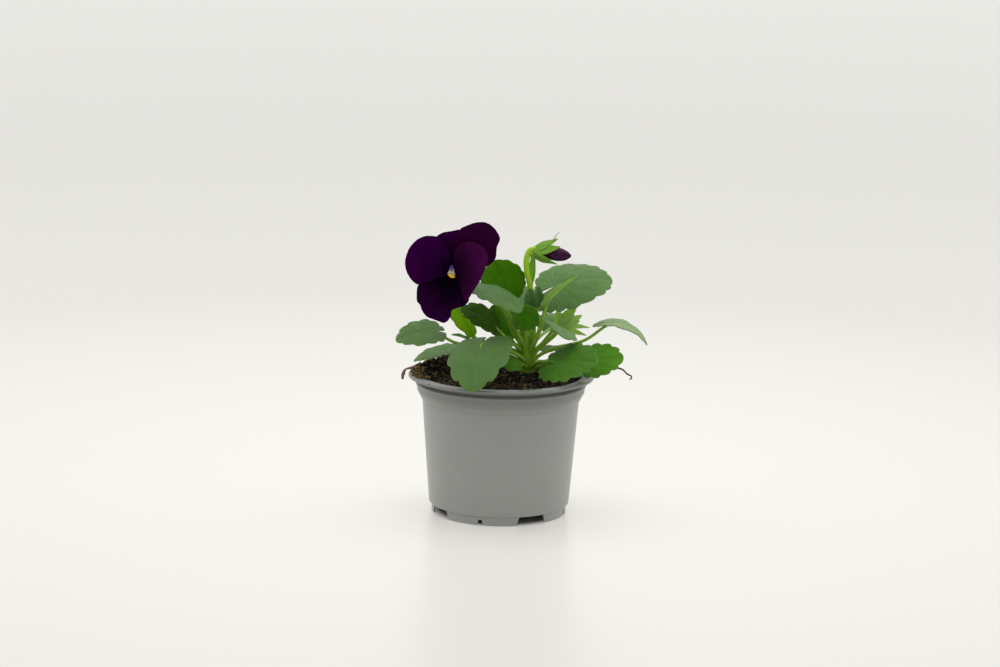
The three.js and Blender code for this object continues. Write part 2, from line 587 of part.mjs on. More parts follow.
function flowerCalyx() {
  const points = [[0, 0, CALYX_DEPTH + 0.2], [0, 0.1, CALYX_DEPTH - 2.5], [0, 0.5, CALYX_DEPTH - 5]];
  const cup = through(points.map((point) => inFlower(...point)));
  const body = stalk(cup, (share) => 2.3 - 0.9 * share * share, 8, 3);
  const sepals = SEPAL_TURNS.map((degrees) => {
    const way = degrees * DEGREE;
    const root = inFlower(0.4 * cos(way), 0.4 * sin(way), CALYX_DEPTH - 1);
    const tip = inFlower(10.5 * cos(way), 10.5 * sin(way), CALYX_DEPTH - 3.4).toArray();
    return spear(root, { tip, face: FACING.toArray(), width: 5, droop: -14, cup: 12 });
  });
  const line = through([
    inFlower(0, 0.3, CALYX_DEPTH - 4),
    inFlower(0.6, 0.8, CALYX_DEPTH - 7.5),
    inFlower(3, -1, CALYX_DEPTH - 10.5),
    V(-15, 3, 131),
    V(-5, 5, 121),
    V(2.2, 5, 111),
    V(6.6, 4, 102),
    V(13, 5, 93),
  ]);
  const stem = stalk(line, (share) => 1.05 + 0.35 * share, 6, 14);
  return joined([body, ...sepals, stem]).subtract(crownStem(CLEARANCE));
}

// Pistil: the style with its rounded stigma, through the ring of claws
function pistil() {
  const points = [[0, 0, CALYX_DEPTH + 0.6], [0, 0, -1], [0, 0.2, 1.2], [0, 1.1, 2.9]];
  const line = through(points.map((point) => inFlower(...point)));
  return stalk(line, (share) => 0.55 + 0.5 * share * share, 8, 5);
}

// Bud: petals rolled to a point, held by five sepals at the hooked end of its stalk
const BUD_BASE = V(20.2, 0.2, 148.2);
const BUD_TIP = V(37.8, -3, 147.4);
const BUD_SHARE = [0.35, 0.62, 0.9, 1, 1, 0.9, 0.68, 0.2];

function budPetals() {
  const from = BUD_BASE.clone().lerp(BUD_TIP, 0.12);
  const belly = from.clone().lerp(BUD_TIP, 0.5).add(V(0, 0, 0.4));
  const line = new THREE.QuadraticBezierCurve3(from, belly, BUD_TIP);
  const radius = (share) => {
    const place = share * (BUD_SHARE.length - 1);
    const low = min(BUD_SHARE.length - 2, Math.floor(place));
    return 3.7 * THREE.MathUtils.lerp(BUD_SHARE[low], BUD_SHARE[low + 1], place - low);
  };
  return stalk(line, radius, 10, 10);
}

const BUD_SEPALS = [
  { tip: [30.3, -2.5, 157], face: [0.35, 0.55, -0.75], width: 6.5 },
  { tip: [31.6, -6.8, 153], face: [0.2, 0.8, -0.6], width: 6.5 },
  { tip: [29, -6.4, 143.2], face: [0.3, 0.7, 0.7], width: 6.5 },
  { tip: [30.4, -0.6, 142.2], face: [0.3, -0.1, 1], width: 6.5 },
  { tip: [31, 3.6, 149.5], face: [0.2, -1, 0], width: 6 },
];

function budCalyx() {
  const points = [[-4, 0.9, -2.8], [-1.8, 0.4, -1], [1.6, -0.3, 0]];
  const cup = through(points.map((point) => BUD_BASE.clone().add(V(...point))));
  const body = stalk(cup, (share) => 1.7 + 1.1 * share, 8, 3);
  const sepals = BUD_SEPALS.map((sepal) => {
    const side = V(...sepal.tip).sub(BUD_BASE);
    const outward = V(0, side.y, side.z).normalize();
    const auricle = BUD_BASE.clone().addScaledVector(outward, 2.7).add(V(-3.6, 0.6, 0));
    return spear(auricle, { ...sepal, droop: 16, cup: -20 });
  });
  const line = through([
    BUD_BASE.clone().add(V(0.5, 0, 0)),
    V(17.4, 0.9, 150.2),
    V(14.8, 1.4, 149.4),
    V(13.1, 2, 144.4),
    V(13.5, 3, 137),
    V(15.4, 5.4, 129.4),
    V(16.2, 6.6, 120.7),
    V(15.7, 7.2, 110),
    V(15.4, 6.8, 99),
  ]);
  const stem = stalk(line, (share) => 1.8 - 0.35 * share, 6, 16);
  const bractShape = { tip: [17.2, 0.2, 151], face: [0.15, -0.95, 0.1], width: 5, droop: -8, cup: 40 };
  const bract = spear(V(15.1, 5, 127), bractShape);
  return joined([body, ...sepals, stem, bract]).subtract(crownStem(CLEARANCE));
}

// A dry twig that leans out of the mix over the rim, and a fibre that hangs over the rim
function twig() {
  const line = through([
    V(38, 4, 74.5),
    V(46, 2, 80.8),
    V(56, -1, 83.8),
    V(65.4, -2, 84),
    V(68.9, -2, 82.9),
    V(71.1, -3, 80.8),
    V(73.6, -3, 79.6),
    V(73.8, -3, 78.4),
    V(72.6, -3, 77.7),
  ]);
  return stalk(line, (share) => 0.65 - 0.2 * share, 5, 18);
}

function fibre() {
  const line = through([
    V(-41, 6, 80),
    V(-47.5, 5, 81),
    V(-51, 4, 80.6),
    V(-54.4, 4, 79.6),
    V(-55.8, 4, 77),
    V(-56.3, 4, 74),
  ]);
  return stalk(line, (share) => 0.7 - 0.2 * share + 0.15 * sin(share * 17), 6, 12);
}

const planter = new THREE.Group();
const addPiece = (name, body, material) => planter.add(meshOf(name, body, material));

const twigBody = twig();
const fibreBody = fibre();
addPiece("pot", pot(), PLASTIC);
addPiece("soil", soil().subtract(twigBody).subtract(fibreBody), PEAT);
addPiece("crown", crown(), STEM_GREEN);
for (const spec of LEAVES) {
  const green = spec.name.startsWith("young") ? YOUNG_GREEN : LEAF_GREEN;
  addPiece(spec.name, leaf(spec), green);
}
for (const spec of PETALS) {
  const shape = spec.name === "petal_lower" ? lowerPetal : petal;
  addPiece(spec.name, shape(spec), PURPLE);
}
addPiece("flower_calyx", flowerCalyx(), STEM_GREEN);
addPiece("pistil", pistil(), STIGMA_GREEN);
addPiece("bud_petals", budPetals(), PURPLE);
addPiece("bud_calyx", budCalyx(), SEPAL_GREEN);
addPiece("twig", twigBody, DRY_BROWN);
addPiece("fibre", fibreBody, DRY_BROWN);

// The origin goes to the middle of the bounding box, at the bottom
const box = new THREE.Box3().setFromObject(planter);
const middle = box.getCenter(V(0, 0, 0));
for (const piece of planter.children) piece.geometry.translate(-middle.x, -middle.y, -box.min.z);

export default planter;
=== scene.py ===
# A pansy in flower, in a round 10.5 cm nursery pot. This script puts the living finish on the
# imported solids: fine blades and petals with veins, crumbly potting mix and a moulded pot.
from math import atan2, cos, exp, hypot, pi, radians, sin, tau
from random import Random

import bmesh
import bpy
from mathutils import Matrix, Vector, noise
from mathutils.geometry import interpolate_bezier


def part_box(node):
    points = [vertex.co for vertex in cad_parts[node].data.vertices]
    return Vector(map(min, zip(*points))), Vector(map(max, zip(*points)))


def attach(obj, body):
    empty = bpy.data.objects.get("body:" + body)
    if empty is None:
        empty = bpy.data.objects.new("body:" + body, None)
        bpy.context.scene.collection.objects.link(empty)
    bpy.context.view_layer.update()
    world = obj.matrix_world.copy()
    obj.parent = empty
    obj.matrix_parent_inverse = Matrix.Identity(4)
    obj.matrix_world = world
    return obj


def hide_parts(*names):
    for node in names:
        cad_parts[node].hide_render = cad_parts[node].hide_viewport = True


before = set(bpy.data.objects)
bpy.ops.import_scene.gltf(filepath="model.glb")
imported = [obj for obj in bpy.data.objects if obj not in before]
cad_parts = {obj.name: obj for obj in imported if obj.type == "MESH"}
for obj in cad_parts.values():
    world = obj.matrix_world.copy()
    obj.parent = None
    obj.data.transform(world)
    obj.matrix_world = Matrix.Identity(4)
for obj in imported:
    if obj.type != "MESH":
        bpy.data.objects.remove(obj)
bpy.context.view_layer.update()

# The shapes are in millimetres from the axis of the pot, on the surface it stands on. The
# materials, the floor and the lights are in metres in the frame.
MM = 0.001
POT_LOW, POT_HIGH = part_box("pot")
POT_AXIS = Vector(((POT_LOW.x + POT_HIGH.x) / 2, (POT_LOW.y + POT_HIGH.y) / 2, 0))

# Pot
POT_HEIGHT = 79
RIM_RADIUS = 52.5
FLANGE_BOTTOM = 77.4
FOOT_HEIGHT = 5
FOOT_RADIUS = 38.5
FLOOR_TOP = 6.2
WALL = 1
BODY_BOTTOM_RADIUS = 40
BODY_TOP_RADIUS = 44.4
BODY_TOP = 64.7
COLLAR_RADIUS = 47.5
NECK_RADIUS = 46.2
POT_STEPS = 144
# The first wide notch of the foot and the small one before it, in degrees from the front to the right
NOTCH_ANGLE = 29
VEE_ANGLE = -15.5
QUARTERS = (0, 90, 180, 270)
DRAIN_RADIUS = 4.5

# Soil and stem
SOIL_LEVEL = 76.8
CROWN_X, CROWN_Y = 14.6, 6
CROWN_BASE, CROWN_TOP = 66, 105

# Sheets
LEAF_THICKNESS = 0.45
LEAFLET_THICKNESS = 0.4
PETAL_THICKNESS = 0.4
SHEET_MAP = "sheet_map"
RING_POWER = 1.6  # how much the rings of a sheet close up towards its margin

# Bud
BUD_BASE = Vector((20.2, 0.2, 148.2))
BUD_TIP = Vector((37.8, -3, 147.4))


# Lines and frames

def smooth_line(points, closed=False):
    """Points close together on a smooth line through the given ones."""
    points = [Vector(point) for point in points]
    count = len(points)
    line = []
    for i in range(count if closed else count - 1):
        b = points[i]
        c = points[(i + 1) % count]
        a = points[i - 1] if closed or i > 0 else 2 * b - c
        d = points[(i + 2) % count] if closed or i + 2 < count else 2 * c - b
        before = (b - a).length ** 0.5
        span = (c - b).length ** 0.5
        after = (d - c).length ** 0.5
        leave = ((b - a) / before - (c - a) / (before + span) + (c - b) / span) * span
        arrive = ((c - b) / span - (d - b) / (span + after) + (d - c) / after) * span
        line += interpolate_bezier(b, b + leave / 3, c - arrive / 3, c, 15)[:-1]
    line.append(points[0] if closed else points[-1])
    return line


def evenly(line, steps):
    """Points at equal steps along a line of points."""
    reached = [0.0]
    for a, b in zip(line, line[1:]):
        reached.append(reached[-1] + (b - a).length)
    spaced = []
    i = 0
    for k in range(steps + 1):
        goal = reached[-1] * k / steps
        while i < len(line) - 2 and reached[i + 1] < goal:
            i += 1
        share = (goal - reached[i]) / max(1e-9, reached[i + 1] - reached[i])
        spaced.append(line[i].lerp(line[i + 1], share))
    return spaced


def length_along(line):
    return sum((b - a).length for a, b in zip(line, line[1:]))


def closed_margin(corners, count):
    """That many flat points at equal steps round a smooth outline through flat corners."""
    outline = smooth_line([(x, y, 0) for x, y in corners], closed=True)
    return [point.to_2d() for point in evenly(outline, count)[:-1]]


def polar(radius, angle):
    """A flat point at that distance from the axis, at an angle in radians from the right."""
    return radius * cos(angle), radius * sin(angle)


def from_front(radius, angle, z):
    """A point at that distance from the axis and that height, at an angle in degrees from the front."""
    way = radians(angle)
    return radius * sin(way), -radius * cos(way), z


def crosswise(points):
    """Two directions across a line at each of its points, without twist."""
    across = None
    pairs = []
    for k, point in enumerate(points):
        ahead = points[min(k + 1, len(points) - 1)]
        behind = points[max(k - 1, 0)]
        way = (ahead - behind).normalized()
        across = way.orthogonal() if across is None else across - way * across.dot(way)
        across.normalize()
        pairs.append((across.copy(), way.cross(across)))
    return pairs


# Shapes that the pieces are built from

def add_stem(bm, line, radius_at, sides, steps, material=0, relief=None):
    """A round stem along a line. radius_at takes the share of the way along it, and relief
    the turn round it too."""
    points = evenly(line, steps)
    pairs = crosswise(points)
    verts = bmesh.ops.create_grid(bm, x_segments=steps, y_segments=sides, size=0.5)["verts"]
    faces = {face for vert in verts for face in vert.link_faces}
    for vert in verts:
        share = vert.co.x + 0.5
        turn = tau * (vert.co.y + 0.5)
        k = round(share * steps)
        across, up = pairs[k]
        radius = radius_at(share) + (relief(share, turn) if relief else 0)
        vert.co = points[k] + radius * (cos(turn) * across + sin(turn) * up)
    bmesh.ops.remove_doubles(bm, verts=verts, dist=0.001)
    faces = [face for face in faces if face.is_valid]
    ends = [edge for edge in {edge for face in faces for edge in face.edges} if edge.is_boundary]
    faces += bmesh.ops.holes_fill(bm, edges=ends, sides=0)["faces"]
    bmesh.ops.recalc_face_normals(bm, faces=faces)
    for face in faces:
        face.material_index = material


def facing(surface, x, y):
    """The way a surface looks at a flat point."""
    step = 0.05
    along = surface(x + step, y) - surface(x - step, y)
    across = surface(x, y + step) - surface(x, y - step)
    return along.cross(across).normalized()


def add_sheet(bm, surface, margin, centre, thickness, rings, unit, upper=0, under=0, rim=0, relief=None):
    """A thin closed sheet. margin holds flat points round the centre, and surface lays a flat
    point in space. The flat place, in the given unit, becomes the sheet's own map."""
    flat_map = bm.loops.layers.uv.get(SHEET_MAP) or bm.loops.layers.uv.new(SHEET_MAP)
    others = set(bm.faces)
    steps = len(margin)
    verts = bmesh.ops.create_grid(bm, x_segments=steps, y_segments=rings, size=0.5)["verts"]
    faces = list({face for vert in verts for face in vert.link_faces})
    flat = {}
    shares = {}
    for vert in verts:
        # the rings close up towards the margin
        share = 1 - (0.5 - vert.co.y) ** RING_POWER
        shares[vert] = share
        k = round((vert.co.x + 0.5) * steps) % steps
        flat[vert] = centre.lerp(margin[k], share)
        x, y = flat[vert]
        way = facing(surface, x, y)
        height = thickness / 2 + (relief(x, y, share) if relief else 0)
        vert.co = surface(x, y) + height * way
    last_ring = 1 - (1.01 / rings) ** RING_POWER
    for face in faces:
        face.material_index = rim if min(shares[vert] for vert in face.verts) > last_ring else upper
        for loop in face.loops:
            loop[flat_map].uv = flat[loop.vert] / unit
    bmesh.ops.remove_doubles(bm, verts=verts, dist=0.001)
    faces = [face for face in faces if face.is_valid]
    for face in faces:
        face.normal_update()
    largest = max(faces, key=lambda face: face.calc_area())
    x, y = largest.loops[0][flat_map].uv * unit
    if largest.normal.dot(facing(surface, x, y)) < 0:
        bmesh.ops.reverse_faces(bm, faces=faces)
    # the underside is the same sheet, pushed back by the thickness and turned over
    made = bmesh.ops.extrude_face_region(bm, geom=faces, use_keep_orig=True)["geom"]
    backs = [face for face in made if isinstance(face, bmesh.types.BMFace)]
    for vert in {vert for face in backs for vert in face.verts}:
        x, y = vert.link_loops[0][flat_map].uv * unit
        vert.co -= thickness * facing(surface, x, y)
    bmesh.ops.reverse_faces(bm, faces=backs)
    for face in backs:
        face.material_index = under
    for face in set(bm.faces) - others - set(faces) - set(backs):
        face.material_index = rim


def make_piece(bm, name, node, materials, sharp=None):
    """Lays a finished shape in the frame as one piece, which replaces the node if one is given.
    Edges sharper than the angle in degrees stay hard."""
    bmesh.ops.scale(bm, vec=(MM, MM, MM), verts=bm.verts)
    bmesh.ops.translate(bm, vec=POT_AXIS, verts=bm.verts)
    mesh = bpy.data.meshes.new(name)
    bm.to_mesh(mesh)
    bm.free()
    mesh.shade_smooth()
    if sharp:
        mesh.set_sharp_from_angle(angle=radians(sharp))
    for material in materials:
        mesh.materials.append(material)
    piece = bpy.data.objects.new(name, mesh)
    bpy.context.collection.objects.link(piece)
    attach(piece, "root")
    if node:
        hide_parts(node)


# Materials

def linear(hex_colour):
    """An sRGB hex colour as linear RGBA."""
    parts = [int(hex_colour[i:i + 2], 16) / 255 for i in (1, 3, 5)]
    return [c / 12.92 if c <= 0.04045 else ((c + 0.055) / 1.055) ** 2.4 for c in parts] + [1.0]


def add_node(tree, kind, settings=(), inputs=()):
    """Adds a node with its settings, and its inputs as values or links."""
    node = tree.nodes.new("ShaderNode" + kind)
    for name, value in dict(settings).items():
        setattr(node, name, value)
    for socket, value in dict(inputs).items():
        if isinstance(value, bpy.types.NodeSocket):
            tree.links.new(value, node.inputs[socket])
        else:
            node.inputs[socket].default_value = value
    return node


def new_material(name):
    """A material with an empty node tree, and that tree."""
    material = bpy.data.materials.new(name)
    material.use_nodes = True
    material.node_tree.nodes.clear()
    return material, material.node_tree


def place_of(tree):
    """Where a point of the piece is, in metres."""
    return add_node(tree, "TexCoord").outputs["Object"]


def sheet_place(tree):
    """Where a point of a sheet is on the sheet's own map."""
    return add_node(tree, "UVMap", {"uv_map": SHEET_MAP}).outputs[0]


def calculate(tree, operation, *values):
    """The result of a calculation on one to three values or links."""
    return add_node(tree, "Math", {"operation": operation}, dict(enumerate(values))).outputs[0]


def length_of(tree, vector):
    return add_node(tree, "VectorMath", {"operation": "LENGTH"}, {0: vector}).outputs[1]


def parts_of(tree, vector):
    """The x, y and z of a vector."""
    return add_node(tree, "SeparateXYZ", {}, {0: vector}).outputs


def joined(tree, x, y):
    """The vector of an x and a y."""
    return add_node(tree, "CombineXYZ", {}, {0: x, 1: y}).outputs[0]


def ranged(tree, value, low, high, first=0.0, last=1.0, kind="SMOOTHSTEP"):
    """A value that runs from low to high, turned into one that runs from first to last."""
    limits = {0: value, 1: low, 2: high, 3: first, 4: last}
    return add_node(tree, "MapRange", {"interpolation_type": kind}, limits).outputs[0]


def blend(tree, share, first, second):
    """A colour on the way from the first to the second, each a hex colour or a link."""
    first, second = (linear(tone) if isinstance(tone, str) else tone for tone in (first, second))
    return add_node(tree, "Mix", {"data_type": "RGBA"}, {0: share, 6: first, 7: second}).outputs[2]


def noise_at(tree, vector, scale, detail):
    return add_node(tree, "TexNoise", {}, {"Vector": vector, "Scale": scale, "Detail": detail}).outputs[0]


def streaks_along(tree, scale):
    """Noise that is drawn out along the axes whose scale is low."""
    stretched = add_node(tree, "Mapping", {}, {0: place_of(tree), "Scale": scale}).outputs[0]
    return noise_at(tree, stretched, 1.0, 3.0)


def bumped(tree, height, strength, distance):
    """The way a skin faces where a height raises it by up to a distance in metres."""
    bump = {"Strength": strength, "Distance": distance, "Height": height}
    return add_node(tree, "Bump", {}, bump).outputs[0]


def end_in(tree, look, glow=None, through=0.0):
    """Ends a material in a surface with that look. With a glow, a share of the light behind it
    comes through in that colour."""
    surface = add_node(tree, "BsdfPrincipled", {}, look).outputs[0]
    if glow:
        lit = add_node(tree, "BsdfTranslucent", {}, {"Color": linear(glow), "Normal": look["Normal"]})
        both = {0: through, 1: surface, 2: lit.outputs[0]}
        surface = add_node(tree, "MixShader", {}, both).outputs[0]
    add_node(tree, "OutputMaterial", {}, {"Surface": surface})


def moulded_polypropylene():
    """Injection-moulded polypropylene: a satin grey with a fine mould texture and dust, painted darker from
    the collar up as painted shade for the shadow under the flange.
    """
    material, tree = new_material("moulded_polypropylene_grey")
    place = place_of(tree)
    # the eroded mould leaves grain of about 0.25 mm
    grain = noise_at(tree, place, 4000.0, 2.0)
    # handling and dust leave clouds of about 15 mm
    clouds = noise_at(tree, place, 65.0, 4.0)
    dusty = blend(tree, clouds, "#949593", "#9c9d9b")
    # the body keeps the dusty tone; from the collar up, flange and rim too, the plastic is painted darker as
    # painted shade for the shadow under the flange
    height = parts_of(tree, place)[2]
    end_in(tree, {
        "Base Color": blend(tree, ranged(tree, height, 0.062, 0.07), dusty, "#7c7d7b"),
        "Roughness": ranged(tree, clouds, 0.3, 0.7, 0.3, 0.4, "LINEAR"),
        "IOR": 1.49, "Normal": bumped(tree, grain, 0.12, 0.00006),
    })
    return material


def mottled(name, dark, light, scale, detail, rough, gloss=0.5, bump=None, pick=None):
    """A stuff mottled by noise between two colours. The noise may raise it too, by the strength
    and distance of a bump, and may be picked out between two limits."""
    material, tree = new_material(name)
    grains = noise_at(tree, place_of(tree), scale, detail)
    share = ranged(tree, grains, *pick) if pick else grains
    look = {"Base Color": blend(tree, share, dark, light), "Roughness": rough, "Specular IOR Level": gloss}
    if bump:
        look["Normal"] = bumped(tree, grains, *bump)
    end_in(tree, look)
    return material


def damp_peat(name, dark, light, scale):
    """Milled peat, damp: nearly black, with brown grains, and no gloss to speak of."""
    return mottled(name, dark, light, scale, 6.0, 0.9, 0.25, bump=(0.8, 0.0004), pick=(0.42, 0.68))


def dry_bark(name, dark, light):
    """Dry woody fibre: dull brown, with uneven splits about 1.4 mm apart."""
    return mottled(name, dark, light, 700.0, 5.0, 0.85, bump=(0.7, 0.0002))


def throat_yellow():
    """The nectar guide: waxy egg yellow, mottled by its cells."""
    return mottled("waxy_throat_yellow", "#d8a400", "#f4cf0a", 900.0, 2.0, 0.45, 0.3, bump=(0.3, 0.0002))


def plant_hair(name, base, tip):
    """Hairs and the stigma: clear, juicy tissue that catches the light as a pale fuzz."""
    return mottled(name, base, tip, 1500.0, 2.0, 0.5)


def expanded_perlite():
    """Expanded perlite: a chalk-white foamed grain with pores."""
    material, tree = new_material("expanded_perlite")
    pores = add_node(tree, "TexVoronoi", {}, {"Vector": place_of(tree), "Scale": 3500.0}).outputs[0]
    tone = blend(tree, pores, "#a8a29a", "#efece6")
    end_in(tree, {"Base Color": tone, "Roughness": 0.9, "Normal": bumped(tree, pores, 0.6, 0.0002)})
    return material


# Veins, with their lengths as shares of the midrib
VEIN_SPREAD = radians(27)  # between two main veins where they leave the stalk
VEIN_CURVE = 0.26  # how far the veins bend back towards the tip
VEIN_START = 0.04  # behind the hilt
VEIN_WANDER = 0.09  # how much the veins stray from their lines, all in all
SIDE_VEIN_STEP = 0.06  # half the way from one side vein to the next


def vein_pattern(tree, flat):
    """The veins on a blade: 1 on the main ones, which fan out from the stalk, and less on the
    side veins and on the net between them."""
    stray = add_node(tree, "TexNoise", {}, {"Vector": flat, "Scale": 5.0, "Detail": 1.0}).outputs[1]
    shift = add_node(tree, "VectorMath", {"operation": "MULTIPLY_ADD"},
                     {0: stray, 1: (VEIN_WANDER, VEIN_WANDER, 0.0), 2: flat}).outputs[0]
    x, y, _ = parts_of(tree, shift)
    along = calculate(tree, "ADD", x, VEIN_START - VEIN_WANDER / 2)
    side = calculate(tree, "SUBTRACT", y, VEIN_WANDER / 2)
    turn = calculate(tree, "ABSOLUTE", calculate(tree, "ARCTAN2", side, along))
    reach = length_of(tree, joined(tree, along, side))
    fan = calculate(tree, "DIVIDE", turn, calculate(tree, "MULTIPLY_ADD", reach, -VEIN_CURVE, 1.0))
    gap = calculate(tree, "MULTIPLY", calculate(tree, "PINGPONG", fan, VEIN_SPREAD / 2), reach)
    width = ranged(tree, reach, 0.0, 1.0, 0.015, 0.007, "LINEAR")
    main = ranged(tree, calculate(tree, "DIVIDE", gap, width), 1.2, 0.2)
    # side veins leave the main veins in chevrons
    chevron = calculate(tree, "PINGPONG", calculate(tree, "SUBTRACT", reach, gap), SIDE_VEIN_STEP)
    minor = ranged(tree, chevron, 0.014, 0.002, 0.0, 0.3)
    cells = add_node(tree, "TexVoronoi", {"feature": "DISTANCE_TO_EDGE"}, {"Vector": shift, "Scale": 26.0})
    net = ranged(tree, cells.outputs[0], 0.14, 0.0, 0.0, 0.35, "LINEAR")
    return calculate(tree, "MAXIMUM", calculate(tree, "MAXIMUM", main, minor), net)


def leaf_skin(name, dark, light, vein, glow, through, rough=0.5, gloss=0.35):
    """Living leaf: a satin skin over soft tissue, mottled from dark to light, with paler sunken
    veins, and a share of the light behind it coming through as a glow."""
    material, tree = new_material(name)
    flat = sheet_place(tree)
    veins = vein_pattern(tree, flat)
    tissue = blend(tree, noise_at(tree, flat, 3.5, 5.0), dark, light)
    # the tissue between veins is quilted, and the skin cells give a fine grain of 0.2 mm
    quilt = calculate(tree, "MULTIPLY_ADD", veins, -1.0, 1.0)
    cells = noise_at(tree, place_of(tree), 4500.0, 1.0)
    height = calculate(tree, "MULTIPLY_ADD", cells, 0.25, quilt)
    end_in(tree, {
        "Base Color": blend(tree, calculate(tree, "MULTIPLY", veins, 0.2), tissue, vein),
        "Roughness": rough, "Specular IOR Level": gloss, "Normal": bumped(tree, height, 0.5, 0.0005),
        "Sheen Weight": 0.05, "Sheen Roughness": 0.5, "Sheen Tint": linear("#dfe8d8"),
    }, glow, through)
    return material


def soft_stem(name, dark, light, through=0.12):
    """Juicy young stem: pale green, faintly streaked lengthwise, with a satin skin."""
    material, tree = new_material(name)
    # streaks of about 0.8 mm by 5 mm, upright like the stems
    streaks = streaks_along(tree, (1200.0, 1200.0, 200.0))
    end_in(tree, {
        "Base Color": blend(tree, streaks, dark, light), "Roughness": 0.42, "Specular IOR Level": 0.35,
        "Normal": bumped(tree, streaks, 0.3, 0.00015),
    }, light, through)
    return material


def velvet_petal(name, heart, middle, outer, sheen):
    """Pansy petal: velvet skin of tiny cones that swallows light, almost black at the heart,
    with fine streaks that fan out to a redder margin."""
    material, tree = new_material(name)
    flat = sheet_place(tree)
    x, y, _ = parts_of(tree, flat)
    reach = length_of(tree, flat)
    # streaks 3 degrees wide, that run out for a few millimetres each
    fine = calculate(tree, "MULTIPLY", calculate(tree, "ARCTAN2", y, x), 20.0)
    far = calculate(tree, "MULTIPLY", reach, 2.5)
    streaks = noise_at(tree, joined(tree, fine, far), 1.0, 3.0)
    place = calculate(tree, "ADD", reach, calculate(tree, "MULTIPLY_ADD", streaks, 0.8, -0.4))
    inner = blend(tree, ranged(tree, place, 0.1, 0.5), heart, middle)
    end_in(tree, {
        "Base Color": blend(tree, ranged(tree, place, 0.4, 1.05), inner, outer),
        "Roughness": 0.75, "Specular IOR Level": 0.0, "Normal": bumped(tree, streaks, 0.5, 0.0003),
        "Sheen Weight": 0.06, "Sheen Roughness": 0.35, "Sheen Tint": linear(sheen),
    }, "#6a1070", 0.08)
    return material


def rolled_velvet():
    """The bud's velvet: streaked along the roll, with painted light in dusty purple where the folds would be
    lit and painted shade in black between.
    """
    material, tree = new_material("velvet_petal_rolled")
    # streaks of about 0.6 mm by 8 mm along the bud, which points to the right
    streaks = streaks_along(tree, (120.0, 1600.0, 1600.0))
    # painted light and shade: the noise streaks are dusty purple for lit folds and black for shaded ones
    lit_and_shaded_streaks = blend(tree, ranged(tree, streaks, 0.35, 0.68), "#220622", "#561e50")
    # the folded tip is nearly black
    x = parts_of(tree, place_of(tree))[0]
    tip = BUD_TIP.x * MM + POT_AXIS.x
    end_in(tree, {
        "Base Color": blend(tree, ranged(tree, x, tip - 0.0025, tip - 0.0008), lit_and_shaded_streaks, "#1c0a20"),
        "Roughness": 0.6, "Specular IOR Level": 0.15, "Normal": bumped(tree, streaks, 0.4, 0.0002),
        "Sheen Weight": 0.08, "Sheen Roughness": 0.35, "Sheen Tint": linear("#c090c8"),
    })
    return material


PLASTIC = moulded_polypropylene()
PEAT = damp_peat("damp_milled_peat", "#080705", "#1f170e", 900.0)
PEAT_CRUMB = damp_peat("damp_peat_crumb", "#090806", "#261c10", 600.0)
BARK_CRUMB = dry_bark("composted_bark_crumb", "#281c0e", "#5c4224")
ROOT_FIBRE = dry_bark("reddish_peat_fibre", "#5c3a1a", "#b8864c")
MOSS_SCRAP = dry_bark("olive_moss_scrap", "#3d3a18", "#6c6a34")
PERLITE = expanded_perlite()
DRY_WOOD = dry_bark("dry_grey_brown_twig", "#2e2119", "#6a5343")
DRY_SHRED = dry_bark("dry_tan_bark_shred", "#4a3826", "#a08a68")

UNDERSIDE = leaf_skin("leaf_underside_pale", "#86a862", "#98bc74", "#b4cc98", "#94b848", 0.25)
SAGE_LEAF = leaf_skin("leaf_top_sage", "#466c31", "#628c41", "#9cb982", "#7fa63a", 0.16, 0.46, 0.22)
# the next two are copies of the sage skin painted lighter: painted light for leaves that catch more light
LIT_SAGE = leaf_skin("leaf_top_sage_painted_light", "#577f43", "#78a258", "#a8c490", "#8cb444", 0.2, 0.44, 0.25)
BRIGHT_LIT_SAGE = leaf_skin("leaf_top_sage_painted_bright_light", "#84a468", "#a2c080", "#c8dab0", "#a8c868", 0.25, 0.4, 0.3)
MID_LEAF = leaf_skin("leaf_top_green", "#36660f", "#528a1c", "#7ea848", "#7fb81c", 0.16, 0.5, 0.1)
FRESH_LEAF = leaf_skin("leaf_top_fresh_green", "#488417", "#68a828", "#9cc864", "#94d028", 0.25, 0.5, 0.12)
# this skin and the next are copies of the leaf painted yellower and brighter: painted light for leaves with
# the light behind them
BRIGHT_LEAF = leaf_skin("leaf_top_backlit", "#336205", "#5a960c", "#8fc03e", "#8cd80c", 0.35, 0.55, 0.05)
LIT_LEAF = leaf_skin("leaf_top_against_light", "#a0d828", "#c4fc3c", "#d8fc8c", "#e4ff50", 0.8, 0.55, 0.05)
# a copy of the leaf painted darker: painted shade for leaves in the shadow of the flower and the leaves above
DARK_LEAF = leaf_skin("leaf_top_shaded", "#2b4e06", "#437012", "#6c9044", "#5f921c", 0.18, 0.5, 0.08)
YOUNG_LEAF = leaf_skin("leaf_top_young", "#397310", "#69b720", "#a4cc6c", "#98e01c", 0.3, 0.45, 0.1)
PALE_LEAF = leaf_skin("leaf_top_folded_pale", "#8cb850", "#b0da70", "#cce4a0", "#b8e85c", 0.3, 0.45, 0.15)
TIP_LEAF = leaf_skin("leaf_top_shoot_tip", "#4c7840", "#689656", "#9cba88", "#90c85c", 0.25, 0.45, 0.15)
